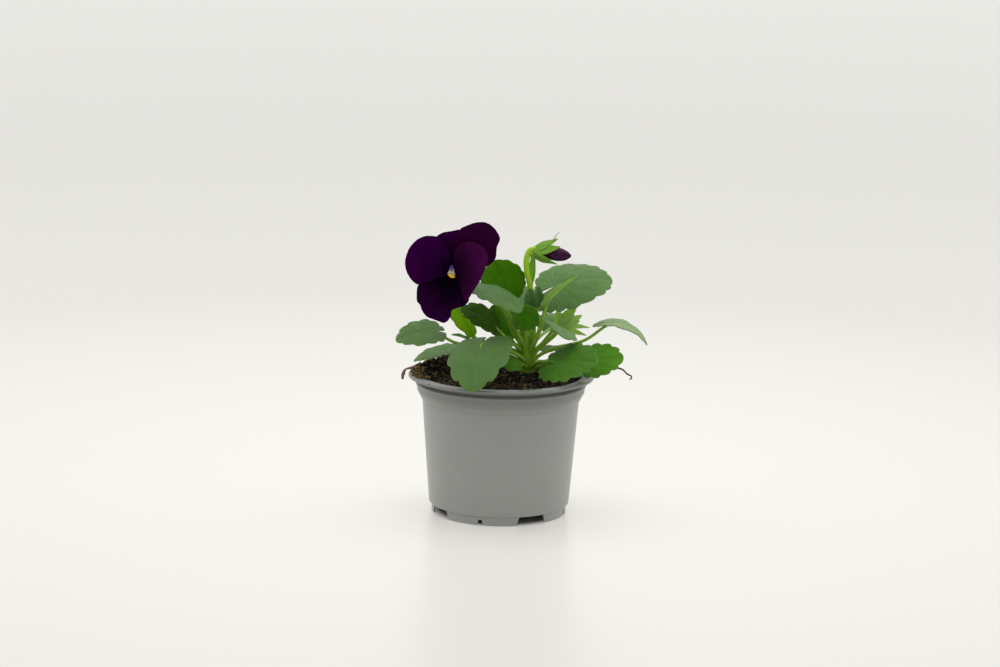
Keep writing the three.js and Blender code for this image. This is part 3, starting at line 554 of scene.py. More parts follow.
# the stipules are painted paler and brighter: painted light, so that they look lit in the shade of the leaf
# above them
STIPULE_LEAF = leaf_skin("stipule_pale", "#aacc6c", "#d0ea94", "#d8ecb4", "#d4f878", 0.4, 0.5, 0.1)
SEPAL_SKIN = leaf_skin("sepal_skin", "#78ac30", "#a0d04c", "#c4dc90", "#a8dc3c", 0.3, 0.45, 0.15)
LEAF_RIM = soft_stem("leaf_rim_pale", "#5a8038", "#6e944a", 0.2)
STALK_GREEN = soft_stem("leaf_stalk_skin", "#74a426", "#a6d24c")
CROWN_GREEN = soft_stem("crown_skin", "#467810", "#b4e03c", 0.15)
BUD_STALK_GREEN = soft_stem("bud_stalk_skin", "#a8dc28", "#cff840", 0.2)
FLOWER_STALK_GREEN = soft_stem("flower_stalk_skin", "#5f8f18", "#90ba3c", 0.15)

LEFT_PETAL = velvet_petal("velvet_petal_left", "#100214", "#25012f", "#35033d", "#8a00b0")
RIGHT_PETAL = velvet_petal("velvet_petal_right", "#100314", "#280628", "#420e40", "#9000a0")
UPPER_PETAL = velvet_petal("velvet_petal_upper", "#0f020e", "#22031f", "#320531", "#9000a0")
LOWER_PETAL = velvet_petal("velvet_petal_lower", "#040406", "#110318", "#2b0632", "#7000a0")
ROLLED_PETAL = rolled_velvet()
YELLOW = throat_yellow()
BEARD_HAIR = plant_hair("white_lilac_beard", "#b7a6d4", "#f2eef4")
LILAC_HAIR = plant_hair("lilac_beard", "#4c2e86", "#8062bc")
STIGMA = plant_hair("stigma_cream", "#a8a83c", "#d7d58a")
LEAF_HAIR = plant_hair("clear_leaf_hair", "#aeb99a", "#dfe6d2")
LONG_HAIR = plant_hair("long_bud_hair", "#5c6a40", "#84905c")


# Pot

def spin_round(bm, verts, following, steps):
    """Joins each vertex to the one that follows it, and turns the line round the axis."""
    edges = [bm.edges.new(pair) for pair in zip(verts, following)]
    bmesh.ops.spin(bm, geom=verts + edges, cent=(0, 0, 0), axis=(0, 0, 1), angle=tau, steps=steps,
                   use_merge=True)
    bmesh.ops.remove_doubles(bm, verts=bm.verts, dist=0.001)
    bmesh.ops.recalc_face_normals(bm, faces=bm.faces)


def pot_body(bm):
    """The turned shell, from its underside up to the flange and down the inside."""
    outside = [
        (FOOT_RADIUS - 2.3, FOOT_HEIGHT), (FOOT_RADIUS + 0.1, FOOT_HEIGHT),
        (BODY_BOTTOM_RADIUS - 0.7, FOOT_HEIGHT + 0.1), (BODY_BOTTOM_RADIUS - 0.25, FOOT_HEIGHT + 0.5),
        (BODY_BOTTOM_RADIUS, FOOT_HEIGHT + 1.3), (42.2, 35),
        (BODY_TOP_RADIUS - 0.02, BODY_TOP - 1.2), (BODY_TOP_RADIUS - 0.25, BODY_TOP - 0.5),
        (BODY_TOP_RADIUS - 0.1, BODY_TOP), (BODY_TOP_RADIUS + 0.4, BODY_TOP + 0.2),
        (COLLAR_RADIUS - 0.6, BODY_TOP + 4.2), (COLLAR_RADIUS - 0.15, BODY_TOP + 4.9),
        (COLLAR_RADIUS, BODY_TOP + 5.8), (COLLAR_RADIUS + 0.1, 72.6), (COLLAR_RADIUS + 0.7, 73.2),
        (COLLAR_RADIUS + 0.8, 73.7), (COLLAR_RADIUS + 0.5, 74.3), (COLLAR_RADIUS - 0.3, 74.8),
        (NECK_RADIUS, 75.1), (NECK_RADIUS, FLANGE_BOTTOM - 0.4), (NECK_RADIUS + 0.4, FLANGE_BOTTOM),
        (RIM_RADIUS - 0.4, FLANGE_BOTTOM), (RIM_RADIUS, FLANGE_BOTTOM + 0.4),
        (RIM_RADIUS, POT_HEIGHT - 0.5), (RIM_RADIUS - 0.5, POT_HEIGHT),
    ]
    inside = [
        (NECK_RADIUS + 1, POT_HEIGHT), (NECK_RADIUS - 0.6, POT_HEIGHT - 0.3),
        (NECK_RADIUS - WALL, POT_HEIGHT - 1.2), (NECK_RADIUS - WALL, 74.9), (COLLAR_RADIUS - WALL, 73.8),
        (COLLAR_RADIUS - WALL, BODY_TOP + 5.4), (BODY_TOP_RADIUS - WALL, BODY_TOP),
        (BODY_BOTTOM_RADIUS - WALL, FLOOR_TOP), (FOOT_RADIUS - 2.3, FLOOR_TOP),
    ]
    ring = [bm.verts.new((r, 0, z)) for r, z in outside + inside]
    spin_round(bm, ring, ring[1:] + ring[:1], POT_STEPS)


def pot_floor(bm):
    """The raised floor, a disc with five drain holes."""
    edges = []
    top = FLOOR_TOP - 0.05
    circles = [((0, 0, top), FOOT_RADIUS - 2.2, 96), ((0, 0, top), DRAIN_RADIUS, 32)]
    for quarter in QUARTERS:
        circles.append((from_front(30, NOTCH_ANGLE + quarter, top), DRAIN_RADIUS, 32))
    for middle, radius, steps in circles:
        at = Matrix.Translation(middle)
        verts = bmesh.ops.create_circle(bm, radius=radius, segments=steps, matrix=at)["verts"]
        edges += dict.fromkeys(edge for vert in verts for edge in vert.link_edges)
    disc = bmesh.ops.triangle_fill(bm, edges=edges, use_beauty=True)["geom"]
    faces = [part for part in disc if isinstance(part, bmesh.types.BMFace)]
    for face in faces:
        face.normal_update()
        if face.normal.z < 0:
            face.normal_flip()
    bmesh.ops.solidify(bm, geom=faces, thickness=FLOOR_TOP - FOOT_HEIGHT - 0.1)


def foot_stretch(bm, start, start_cut, end, end_cut):
    """A stretch of the foot's skirt between two cut-outs, given by the angles of their middles
    in degrees from the front, and by the half widths of each at the bottom and at the top."""
    part = bmesh.new()
    section = [(FOOT_RADIUS - 0.3, 0.15), (FOOT_RADIUS, FOOT_HEIGHT + 0.3),
               (FOOT_RADIUS - WALL, FOOT_HEIGHT + 0.3), (FOOT_RADIUS - WALL - 0.3, 0.15),
               (FOOT_RADIUS - WALL - 0.15, 0), (FOOT_RADIUS - 0.45, 0)]
    # the stretch is turned a little too long at both ends, and then cut
    pad = 18
    corners = [part.verts.new(from_front(radius, start - pad, z)) for radius, z in section]
    face = part.faces.new(corners)
    geometry = [face] + list(face.edges) + corners
    turn = end - start + 2 * pad
    bmesh.ops.spin(part, geom=geometry, cent=(0, 0, 0), axis=(0, 0, 1), angle=radians(turn),
                   steps=int(turn / 1.2))
    bmesh.ops.recalc_face_normals(part, faces=part.faces)
    for angle, cut, side in ((start, start_cut, 1), (end, end_cut, -1)):
        bottom, top = cut
        turned = Matrix.Rotation(radians(angle), 4, "Z")
        point = turned @ Vector((side * bottom, -FOOT_RADIUS, 0))
        outward = turned @ Vector((side * FOOT_HEIGHT, 0, bottom - top))
        whole = list(part.verts) + list(part.edges) + list(part.faces)
        bmesh.ops.bisect_plane(part, geom=whole, dist=0.0001, plane_co=point, plane_no=outward,
                               clear_inner=True)
        open_edges = [edge for edge in part.edges if edge.is_boundary]
        bmesh.ops.holes_fill(part, edges=open_edges, sides=0)
    bmesh.ops.recalc_face_normals(part, faces=part.faces)
    scratch = bpy.data.meshes.new("skirt_scratch")
    part.to_mesh(scratch)
    part.free()
    bm.from_mesh(scratch)
    bpy.data.meshes.remove(scratch)


def nursery_pot():
    bm = bmesh.new()
    pot_body(bm)
    pot_floor(bm)
    # half the width of each kind of cut-out, at the bottom and at the top
    wide = (9.2, 7.6)
    vee = (1.8, 0.4)
    for quarter in QUARTERS:
        notch = NOTCH_ANGLE + quarter
        small = VEE_ANGLE + quarter + 90
        foot_stretch(bm, notch, wide, small, vee)
        foot_stretch(bm, small, vee, notch + 90, wide)
        # the skirt closes above the small notch
        turned = Matrix.Rotation(radians(small), 4, "Z")
        above = Matrix.Translation(from_front(FOOT_RADIUS, small, 4.2)) @ turned
        inward = Matrix.Translation((0, WALL / 2 + 0.05, 0))
        bmesh.ops.create_cube(bm, size=1, matrix=above @ inward @ Matrix.Diagonal((3, WALL, 2.0, 1)))
    make_piece(bm, "nursery_pot", "pot", [PLASTIC], sharp=35)


# Potting mix

CRUMBS_ALL_OVER = 900
CRUMBS_ON_HEAP = 150
CRUMBS_ON_RIM = 420
FIBRES = 260


def bump_at(x, y, centre_x, centre_y, width):
    """A round hill of height 1."""
    return exp(-((x - centre_x) ** 2 + (y - centre_y) ** 2) / (2 * width**2))


def soil_top(x, y):
    """The height of the mix, heaped against the stem and at the left and back of the rim."""
    stem_heap = 2.6 * bump_at(x, y, CROWN_X, CROWN_Y, 9)
    heaps = 4.4 * bump_at(x, y, -43, 10, 8) + 5.2 * bump_at(x, y, -36, 25, 8) + 5 * bump_at(x, y, -28, 34, 8)
    # the heaps fall off to about a third over the last millimetres before the wall
    rim_heap = heaps * min(1, max(0.35, (46.5 - hypot(x, y)) / 4))
    crumbs = 0.5 * sin(0.9 * x + 1.3 * sin(0.7 * y)) * cos(0.8 * y + sin(0.6 * x))
    grains = 0.9 * noise.noise((x * 0.55, y * 0.55, 3)) + 0.7 * abs(noise.noise((x * 1.4, y * 1.4, 7)))
    return SOIL_LEVEL + stem_heap + rim_heap + crumbs + grains - 0.2


def potting_mix():
    bm = bmesh.new()
    rings = 56
    steps = 150
    top = [(44.8 * k / rings, SOIL_LEVEL) for k in range(rings + 1)]
    side = [(COLLAR_RADIUS - WALL - 1.6, 72), (BODY_TOP_RADIUS - WALL - 0.3, BODY_TOP - 1),
            (BODY_BOTTOM_RADIUS - WALL - 0.3, FLOOR_TOP + 0.3), (0, FLOOR_TOP + 0.3)]
    line = [bm.verts.new((r, 0, z)) for r, z in top + side]
    spin_round(bm, line, line[1:], steps)
    for vert in bm.verts:
        if abs(vert.co.z - SOIL_LEVEL) < 0.01:
            vert.co.z = soil_top(vert.co.x, vert.co.y)
    make_piece(bm, "potting_mix", "soil", [PEAT])


def add_crumb(bm, dice, place, size, material):
    """A small angular lump, turned and squashed by chance."""
    turn = dice.uniform(0, tau)
    axis = Vector([dice.gauss(0, 1) for _ in range(3)])
    sides = [size * dice.uniform(low, high) for low, high in ((0.7, 1.5), (0.6, 1.0), (0.45, 0.9))]
    at = Matrix.Translation(place) @ Matrix.Rotation(turn, 4, axis) @ Matrix.Diagonal((*sides, 1))
    verts = bmesh.ops.create_icosphere(bm, subdivisions=1, radius=0.5, matrix=at)["verts"]
    for vert in verts:
        vert.co += 0.18 * size * noise.noise_vector(vert.co * 3.1)
    for face in {face for vert in verts for face in vert.link_faces}:
        face.material_index = material


def spilled_mix(x, y):
    """The height of the mix that lies on the flange at the left."""
    return 3 * bump_at(x, y, -47, 8, 6) + 3.4 * bump_at(x, y, -40, 24, 7) + 0.8 * bump_at(x, y, -45, -10, 7)


def soil_crumbs():
    """Loose crumbs of peat (0), bark (1), moss (2) and fibre (3): all over the mix, more on the heap
    at the left, a pile on the rim there and one at the front left. A perlite grain lies in front."""
    dice = Random(4)
    noise.seed_set(4)
    bm = bmesh.new()
    for _ in range(CRUMBS_ALL_OVER):
        x, y = polar(44.2 * dice.random() ** 0.5, dice.uniform(0, tau))
        if hypot(x - CROWN_X, y - CROWN_Y) < 5:
            continue
        size = 0.7 + 1.9 * dice.random() ** 3
        material = dice.choices((0, 1, 2), (6, 2.4, 1.2))[0]
        add_crumb(bm, dice, (x, y, soil_top(x, y) + 0.22 * size), size, material)
    for _ in range(CRUMBS_ON_HEAP):
        angle = radians(dice.gauss(165, 26))
        x, y = polar(dice.uniform(36, 44.4), angle)
        size = dice.uniform(1.0, 3.0)
        add_crumb(bm, dice, (x, y, soil_top(x, y) + 0.2 * size), size, dice.choice((0, 0, 1, 2)))
    for _ in range(CRUMBS_ON_RIM):
        angle = radians(dice.uniform(138, 208))
        radius = dice.uniform(44, RIM_RADIUS - 1.2)
        x, y = polar(radius, angle)
        pile = spilled_mix(x, y) * min(1, (RIM_RADIUS - radius) / 5)
        if pile < 0.25:
            continue
        size = dice.uniform(0.7, 2.2)
        lift = POT_HEIGHT + pile * dice.random() + 0.2 * size
        add_crumb(bm, dice, (x, y, lift), size, dice.choice((0, 0, 1, 2, 2, 3)))
    add_crumb(bm, dice, (-39.7, -34.4, 79.1), 0.9, 1)
    make_piece(bm, "loose_crumbs", None, [PEAT_CRUMB, BARK_CRUMB, MOSS_SCRAP, ROOT_FIBRE])
    grain = bmesh.new()
    add_crumb(grain, dice, (17.8, -20, soil_top(17.8, -20) + 0.6), 1.9, 0)
    make_piece(grain, "perlite_grain", None, [PERLITE])


def soil_fibres():
    """Thin reddish roots and fibres that lie on the mix and curl out of it."""
    dice = Random(9)
    bm = bmesh.new()
    for _ in range(FIBRES):
        x, y = polar(42 * dice.random() ** 0.5, dice.uniform(0, tau))
        way = dice.uniform(0, tau)
        length = dice.uniform(2, 6)
        curl = dice.uniform(-1, 1)
        points = []
        for k in range(4):
            turn = way + curl * k / 3
            px = x + length * k / 3 * cos(turn)
            py = y + length * k / 3 * sin(turn)
            if hypot(px, py) > 44:
                px, py = px * 44 / hypot(px, py), py * 44 / hypot(px, py)
            points.append(Vector((px, py, soil_top(px, py) + 0.25 + 0.5 * dice.random())))
        thick = dice.uniform(0.1, 0.24)
        add_stem(bm, smooth_line(points), lambda share, thick=thick: thick * (1 - 0.6 * share), 3, 4)
    make_piece(bm, "soil_fibres", None, [ROOT_FIBRE])


# Crown with its side shoot and stipules

CROWN_LINE = smooth_line([
    (CROWN_X + 0.6, CROWN_Y + 1.5, CROWN_BASE), (CROWN_X + 0.4, CROWN_Y + 1, 79),
    (CROWN_X - 0.4, CROWN_Y - 1, 92), (CROWN_X - 0.6, CROWN_Y - 2, CROWN_TOP),
])
CROWN_POINTS = evenly(CROWN_LINE, 100)
SHOOT_TIP = Vector((33, 13.5, 104))
SHOOT_LINE = smooth_line([(15.5, 8, 84), (20, 12, 91), (26, 14, 96), (30.5, 14, 100), SHOOT_TIP])
RIB_TURNS = (195, 260, 330, 100)
STIPULES = [
    dict(tip=(42.5, 16, 116), face=(-0.5, -0.8, 0.3), width=9, teeth=2),
    dict(tip=(45.5, 12, 111.5), face=(0.3, -0.9, 0.4), width=8, teeth=2),
    dict(tip=(49.8, 11, 104.6), face=(0, -0.6, 0.8), width=5, teeth=1),
    dict(tip=(48.5, 14, 99.5), face=(0.1, -0.9, 0.4), width=4, teeth=0),
    dict(tip=(32, 17, 115), face=(-0.6, -0.8, 0.2), width=7, teeth=1),
]
# The side of a leaflet, as shares of its length and width
SPEAR = [(0, 0.12), (0.12, 0.3), (0.38, 0.48), (0.65, 0.34), (0.86, 0.15)]


def blade_frame(spec):
    """A blade as a bent surface, and its length: flat x runs from the hilt along the midrib, and
    y across it. droop, cup and fold are angles in degrees, and wave is the height of the ripples."""
    hilt = Vector(spec["hilt"])
    chord = Vector(spec["tip"]) - hilt
    along = chord.normalized()
    across = Vector(spec["face"]).cross(along).normalized()
    up = along.cross(across)
    bend = radians(spec["droop"])
    radius = chord.length / (2 * sin(bend / 2))
    length = radius * bend
    half = spec["width"] / 2
    cup = radians(spec["cup"]) / half
    fold = radians(spec["fold"])
    wave = spec["wave"]

    def surface(x, y):
        angle = bend / 2 - x / radius
        side = abs(y)
        edge = side / half
        ripple = wave * edge * edge * sin(9 * x / length + (0 if y > 0 else 2))
        lift = (1 - cos(cup * side)) / cup + ripple
        reach = sin(cup * side) / cup
        outward = reach * cos(fold) - lift * sin(fold)
        upward = reach * sin(fold) + lift * cos(fold)
        if y < 0:
            outward = -outward
        return (hilt + along * (radius * (sin(bend / 2) - sin(angle)) + upward * sin(angle))
                + up * (radius * (cos(angle) - cos(bend / 2)) + upward * cos(angle)) + across * outward)

    return surface, length


def add_spear(bm, root, tip, face, width, droop=20, cup=20, teeth=0):
    """A pointed leaflet from a root to a tip in the second material of the piece, with a few
    coarse teeth if asked."""
    surface, length = blade_frame(dict(hilt=root, tip=tip, face=face, width=width, droop=droop, cup=cup,
                                       fold=8, wave=0))
    side = [(x * length, y * width) for x, y in SPEAR]
    outline = [(0, 0)] + [(x, -y) for x, y in side] + [(length, 0)] + side[::-1]
    margin = closed_margin(outline, 64)
    centre = Vector((0.42 * length, 0))
    if teeth:
        for k, point in enumerate(margin):
            bite = 0.16 * abs(sin(pi * teeth * 2 * point.x / length)) ** 0.6 + 0.84
            if 0.1 * length < point.x < 0.9 * length:
                margin[k] = Vector((point.x, point.y * bite))
    add_sheet(bm, surface, margin, centre, LEAFLET_THICKNESS, rings=5, unit=length, upper=1, under=1, rim=1)


def crown():
    bm = bmesh.new()

    def knots(share, turn):
        knobs = noise.noise((4 * cos(turn), 4 * sin(turn), 22 * share))
        return 0.18 * sin(5 * turn + 3 * share) + 0.15 * knobs

    add_stem(bm, CROWN_LINE, lambda share: 3.4 + 0.6 * sin(share * 3), 24, 30, 0, knots)
    add_stem(bm, SHOOT_LINE, lambda share: 1.9 - 0.7 * share, 12, 14)
    for turn in RIB_TURNS:
        side = Vector((cos(radians(turn)), sin(radians(turn)), 0))
        line = [CROWN_POINTS[round(100 * share)] + side * reach
                for share, reach in ((0.2, 1.5), (0.45, 3.4), (0.7, 4), (0.95, 4.2))]
        add_stem(bm, smooth_line(line), lambda share: 1.6 + 0.3 * share - 1.2 * share**5, 12, 18)
    for stipule in STIPULES:
        add_spear(bm, SHOOT_TIP, **stipule)
    make_piece(bm, "crown_and_shoot", "crown", [CROWN_GREEN, STIPULE_LEAF])


# Leaves

# A leaf's root is a point, or a height on the crown, and its stalk runs via some points to the
# hilt of the blade. face is the way the blade looks, stout the radius of the stalk, and lobe,
# notch and taper are shares. The scallops are those of one side. skin and back are materials.
LEAVES = [
    dict(name="leaf_far_left", root=87, hilt=(-38, -6, 103.9), tip=(-59.4, -10, 98.4),
         via=[(2, 1, 93.4), (-26, -4, 97)], face=(-0.1, -0.46, 0.88),
         width=24.5, lobe=0.3, droop=38, cup=-14, fold=5, scallops=4, wave=0.5, taper=0.2),
    dict(name="leaf_low_left", root=83.6, hilt=(-30, 11, 90.6), tip=(-50, 11, 83.1),
         via=[(-4, 8, 91)], face=(-0.2, -0.16, 0.96),
         width=21, lobe=0.28, droop=30, cup=-10, fold=4, scallops=5, wave=0.5, taper=0.3),
    dict(name="leaf_front", root=84, hilt=(-10.2, -24.6, 101), tip=(-14.8, -55, 79.2),
         via=[(8, -9, 92)], face=(-0.24, -0.6, 0.76),
         width=36.5, lobe=0.38, droop=47, cup=-14, fold=4, scallops=4, wave=0.5, taper=0.1),
    dict(name="leaf_behind_flower", root=90, hilt=(-16.5, 10, 98.8), tip=(-28.8, 12, 117),
         via=[(0, 10, 93)], face=(0.3, -0.85, 0.35), skin=LIT_LEAF,
         width=12.5, lobe=0.12, droop=20, cup=14, fold=6, scallops=3, wave=0.4, taper=-0.4),
    dict(name="leaf_shaded", root=89.5, hilt=(-3.6, -1, 106.2), tip=(-23.9, -2, 116),
         via=[(6, -3, 97)], face=(-0.35, -0.45, 0.8), skin=DARK_LEAF,
         width=18, lobe=0.2, droop=55, cup=-14, fold=6, scallops=4, wave=0.4),
    dict(name="leaf_behind_centre", root=88, hilt=(3.6, 11, 99.5), tip=(-5.4, 9, 117),
         via=[(9, 10, 93)], face=(-0.1, -0.95, 0.3), skin=YOUNG_LEAF,
         width=17, lobe=0.2, droop=20, cup=10, fold=6, scallops=3, wave=0.4),
    dict(name="leaf_under_flower", root=(13.4, 1, 95), hilt=(-13.2, -11, 130.9), tip=(9.6, -27, 118.5),
         via=[(8, 1, 104), (3.5, -1, 114), (-4, -6, 124)], face=(0.4, -0.3, 0.87),
         width=28, lobe=0.2, droop=42, cup=-24, fold=3, scallops=5, wave=0.4),
    dict(name="leaf_upright", root=(13, 5, 97), hilt=(3, 6, 122.2), tip=(-5.3, 11, 142.2),
         via=[(8, 4.6, 111)], face=(0.12, -0.95, 0.25), skin=BRIGHT_LEAF,
         width=27, lobe=0.2, droop=22, cup=18, fold=8, scallops=5, wave=0.5, notch=0.06),
    dict(name="leaf_upper_right", root=93, hilt=(29.8, 13, 127.8), tip=(62.4, 17.5, 130.8),
         via=[(20.6, 7.4, 101), (24.6, 10.8, 113)], face=(-0.24, -0.68, 0.69), skin=LIT_SAGE,
         width=34, lobe=0.4, droop=56, cup=-32, fold=0, scallops=7, wave=0.6, taper=0.25, notch=0.08),
    dict(name="leaf_narrow", root=89, hilt=(24.6, -3, 121), tip=(42.9, -6, 137),
         via=[(18.8, -2, 98), (22.6, -3, 111)], face=(-0.45, -0.6, 0.65), skin=PALE_LEAF, back=PALE_LEAF,
         width=5.6, lobe=0.3, droop=26, cup=20, fold=10, scallops=4, wave=0.2, stout=1.4, taper=0.45),
    dict(name="leaf_mid_right", root=86, hilt=(31, -6, 108.4), tip=(34.5, -23, 104),
         via=[(22.5, -2, 97)], face=(0.55, -0.34, 0.76), skin=LIT_SAGE,
         width=23, lobe=0.25, droop=30, cup=-14, fold=4, scallops=4, wave=0.4),
    dict(name="leaf_far_right", root=84, hilt=(62, 9, 108), tip=(82.7, 8, 95.7),
         via=[(27, 7, 92), (47, 9, 97.5)], face=(0.3, -0.06, 0.95), skin=BRIGHT_LIT_SAGE,
         width=23, lobe=0.44, droop=60, cup=-8, fold=6, scallops=5, wave=0.4),
    dict(name="leaf_front_right", root=80.5, hilt=(32, -22.5, 90.5), tip=(52.7, -31, 92),
         via=[(22, -9, 88)], face=(0.02, -0.5, 0.86), skin=MID_LEAF,
         width=36, lobe=0.56, droop=24, cup=-12, fold=3, scallops=6, wave=0.5),
    dict(name="leaf_low_right", root=80, hilt=(45.9, -7, 87.4), tip=(68.5, -11, 91.6),
         via=[(30, -2, 86)], face=(0.05, -0.68, 0.7), skin=FRESH_LEAF,
         width=23.5, lobe=0.25, droop=18, cup=-8, fold=3, scallops=5, wave=0.4),
    dict(name="leaf_by_soil", root=80, hilt=(8.8, -12.5, 88.6), tip=(3.4, -19.5, 84.8),
         via=[(13, -4.5, 84.5), (11.5, -9, 86.6)], face=(-0.1, -0.75, 0.65), skin=FRESH_LEAF,
         width=11, lobe=0.2, droop=24, cup=-12, fold=5, scallops=2, wave=0.2),
    dict(name="leaf_sliver", root=85.5, hilt=(-19.5, 4, 98.2), tip=(-28.5, 3, 100.4),
         via=[(3, 5, 93.5)], face=(0.25, -0.1, 0.96), skin=MID_LEAF,
         width=3.6, lobe=0.2, droop=16, cup=12, fold=20, scallops=2, wave=0.2, stout=0.6),
    dict(name="leaf_back_left", root=83, hilt=(-3, 30, 90), tip=(-25, 43, 84),
         via=[(8, 18, 89)], face=(-0.25, 0.2, 0.94),
         width=28, lobe=0.3, droop=34, cup=-10, fold=4, scallops=5, wave=0.5),
    dict(name="leaf_back_right", root=82, hilt=(30, 28, 89), tip=(48, 43, 84.5),
         via=[(22, 17, 87)], face=(0.2, 0.25, 0.94), skin=MID_LEAF,
         width=28, lobe=0.3, droop=30, cup=-12, fold=4, scallops=5, wave=0.5),
    dict(name="leaf_back_high", root=(12.8, 6.4, 95), hilt=(12, 20, 114), tip=(2, 42, 121),
         via=[(12, 13, 106)], face=(-0.2, -0.25, 0.94),
         width=28, lobe=0.3, droop=40, cup=-12, fold=5, scallops=5, wave=0.5),
    dict(name="leaf_back_far", root=92, hilt=(29, 30, 102), tip=(38, 49, 104),
         via=[(22, 17, 98)], face=(0.1, -0.1, 0.98),
         width=26, lobe=0.3, droop=40, cup=-10, fold=5, scallops=5, wave=0.5),
    dict(name="young_leaf_centre", root=(14.4, 1.4, 101), hilt=(13.2, -0.6, 104.5), tip=(12.9, -7.6, 120),
         via=[], face=(0.02, -0.93, -0.3), skin=YOUNG_LEAF,
         width=19, lobe=0.03, droop=-20, cup=60, fold=4, scallops=3, wave=0.2, taper=-0.2),
    dict(name="young_leaf_left", root=(12.7, 5.2, 101), hilt=(15.6, 1.4, 116.5), tip=(15.6, -2, 128.4),
         via=[(13.6, 3.9, 109)], face=(-0.1, -0.98, 0.15), skin=TIP_LEAF,
         width=7.6, lobe=0.1, droop=14, cup=50, fold=6, scallops=2, wave=0.1),
    dict(name="young_leaf_right", root=(18, 4.2, 101), hilt=(20.4, 3.4, 117.5), tip=(20, 1.4, 129),
         via=[(18.6, 3.6, 109)], face=(0.25, -0.96, 0.15), skin=TIP_LEAF,
         width=6, lobe=0.1, droop=14, cup=50, fold=6, scallops=2, wave=0.1),
]
NOTCH = 0.13  # how deep a notch goes, as a share of the way to the blade's middle
SCALLOPED_ANGLE = 2.78  # how far round from the tip the teeth reach, in radians
TIP_TOOTH = 2  # times the width of the other teeth
SINUS_WIDTH = 0.05  # half of the slit between the lobes, in radians
POINTS_A_TOOTH = 13


def blade_margin(length, spec, dice):
    """The heart-shaped outline, with rounded teeth that differ a little from one to the next."""
    width, lobe, scallops = spec["width"], spec["lobe"], spec["scallops"]
    centre = Vector(((1 - lobe) / 2 * length, 0))
    widths = [dice.uniform(0.88, 1.12) for _ in range(2 * scallops + 1)]
    widths[scallops] = TIP_TOOTH
    whole = sum(widths)
    notches = [SCALLOPED_ANGLE * (2 * sum(widths[:k]) / whole - 1) for k in range(2 * scallops + 2)]
    depths = [spec.get("notch", NOTCH) * dice.uniform(0.8, 1.1) for _ in widths]
    steps = round((2 * scallops + 2) * POINTS_A_TOOTH * pi / SCALLOPED_ANGLE)
    margin = []
    for k in range(steps):
        angle = tau * k / steps - pi
        scale = 1
        if abs(angle) < SCALLOPED_ANGLE:
            tooth = max(n for n in range(2 * scallops + 1) if notches[n] <= angle)
            inside = (angle - notches[tooth]) / (notches[tooth + 1] - notches[tooth])
            # the side teeth lean towards the tip, and the tip's tooth is even
            lean = 0.5 if tooth == scallops else 0.62
            inside = inside if angle < 0 else 1 - inside
            crest = inside / lean / 2 if inside < lean else 0.5 + (inside - lean) / (1 - lean) / 2
            power = 0.4 if tooth == scallops else 0.8
            scale = 1 - depths[tooth] * (1 - sin(pi * crest) ** power)
        from_sinus = (pi - abs(angle)) / SINUS_WIDTH
        x = length * (1 + lobe) / 2 * cos(angle) + lobe * length * exp(-(from_sinus**2))
        y = width / 2 * sin(angle) * (1 - spec.get("taper", 0.05) * cos(angle))
        margin.append(Vector((x, y)) * scale + centre)
    return margin, centre


def vein_relief(length):
    """How the tissue swells between the main veins, in mm above the blade's surface."""
    def relief(x, y, share):
        along, side = x / length + VEIN_START, y / length
        reach = hypot(along, side)
        turn = abs(atan2(side, along)) / (1 - VEIN_CURVE * min(reach, 1.5))
        off = abs(turn - VEIN_SPREAD * round(turn / VEIN_SPREAD)) * reach * length
        swell = 1 - exp(-((off / 1.3) ** 2))
        return 0.28 * swell * (1 - share**6) + 0.2 * noise.noise((x * 0.3, y * 0.3, length))
    return relief


def pansy_leaf(spec):
    dice = Random(spec["name"])
    bm = bmesh.new()
    surface, length = blade_frame(spec)
    margin, centre = blade_margin(length, spec, dice)
    add_sheet(bm, surface, margin, centre, LEAF_THICKNESS, rings=13, unit=length, under=1, rim=3,
              relief=vein_relief(length))
    root = spec["root"]
    if not isinstance(root, tuple):
        root = CROWN_POINTS[round(100 * (root - CROWN_BASE) / (CROWN_TOP - CROWN_BASE))]
    stout = spec.get("stout", 0.8 + spec["width"] / 80)
    # the stalk goes on as the midrib, sunk into the underside of the blade
    depth = 0.75 * stout - 0.2
    under = [surface(x * length, 0) - below * facing(surface, x * length, 0)
             for x, below in ((0, depth), (0.3, depth), (0.62, depth), (0.8, 0.35), (0.93, 0.35))]
    line = smooth_line([root] + spec["via"] + under)
    whole = length_along(line)
    bare = 1 - 0.93 * length / whole

    def radius(share):
        if share < bare:
            # the stalk's foot clasps the stem
            return stout * (1 - 0.25 * share / bare) + 0.7 * exp(-share * whole / 3)
        return stout * (0.75 - 0.6 * (share - bare) / (1 - bare))

    groove = lambda share, turn: -0.12 * stout * max(0, cos(turn)) ** 6
    add_stem(bm, line, radius, 10, 36, 2, groove)
    skins = [spec.get("skin", SAGE_LEAF), spec.get("back", UNDERSIDE), STALK_GREEN, LEAF_RIM]
    make_piece(bm, "grown_" + spec["name"], spec["name"], skins)


# Flower: flat x runs to the right as seen from the front, flat y up, and depth towards the front

EYE = Vector((-28, -20, 138.4))
YAW = radians(-20)
RISE = radians(6)
FACING = Vector((sin(YAW) * cos(RISE), -cos(YAW) * cos(RISE), sin(RISE)))
RIGHTWARD = Vector((0, 0, 1)).cross(FACING).normalized()
UPWARD = FACING.cross(RIGHTWARD)
LAYER = 1.35  # from one petal to the next
PETAL_UNIT = 26
BEARD_HAIRS = 380


def flower_line(*spots):
    """A smooth line through spots given in the flower."""
    return smooth_line([in_flower(*spot) for spot in spots])


def in_flower(x, y, depth):
    return EYE + x * RIGHTWARD + y * UPWARD + depth * FACING


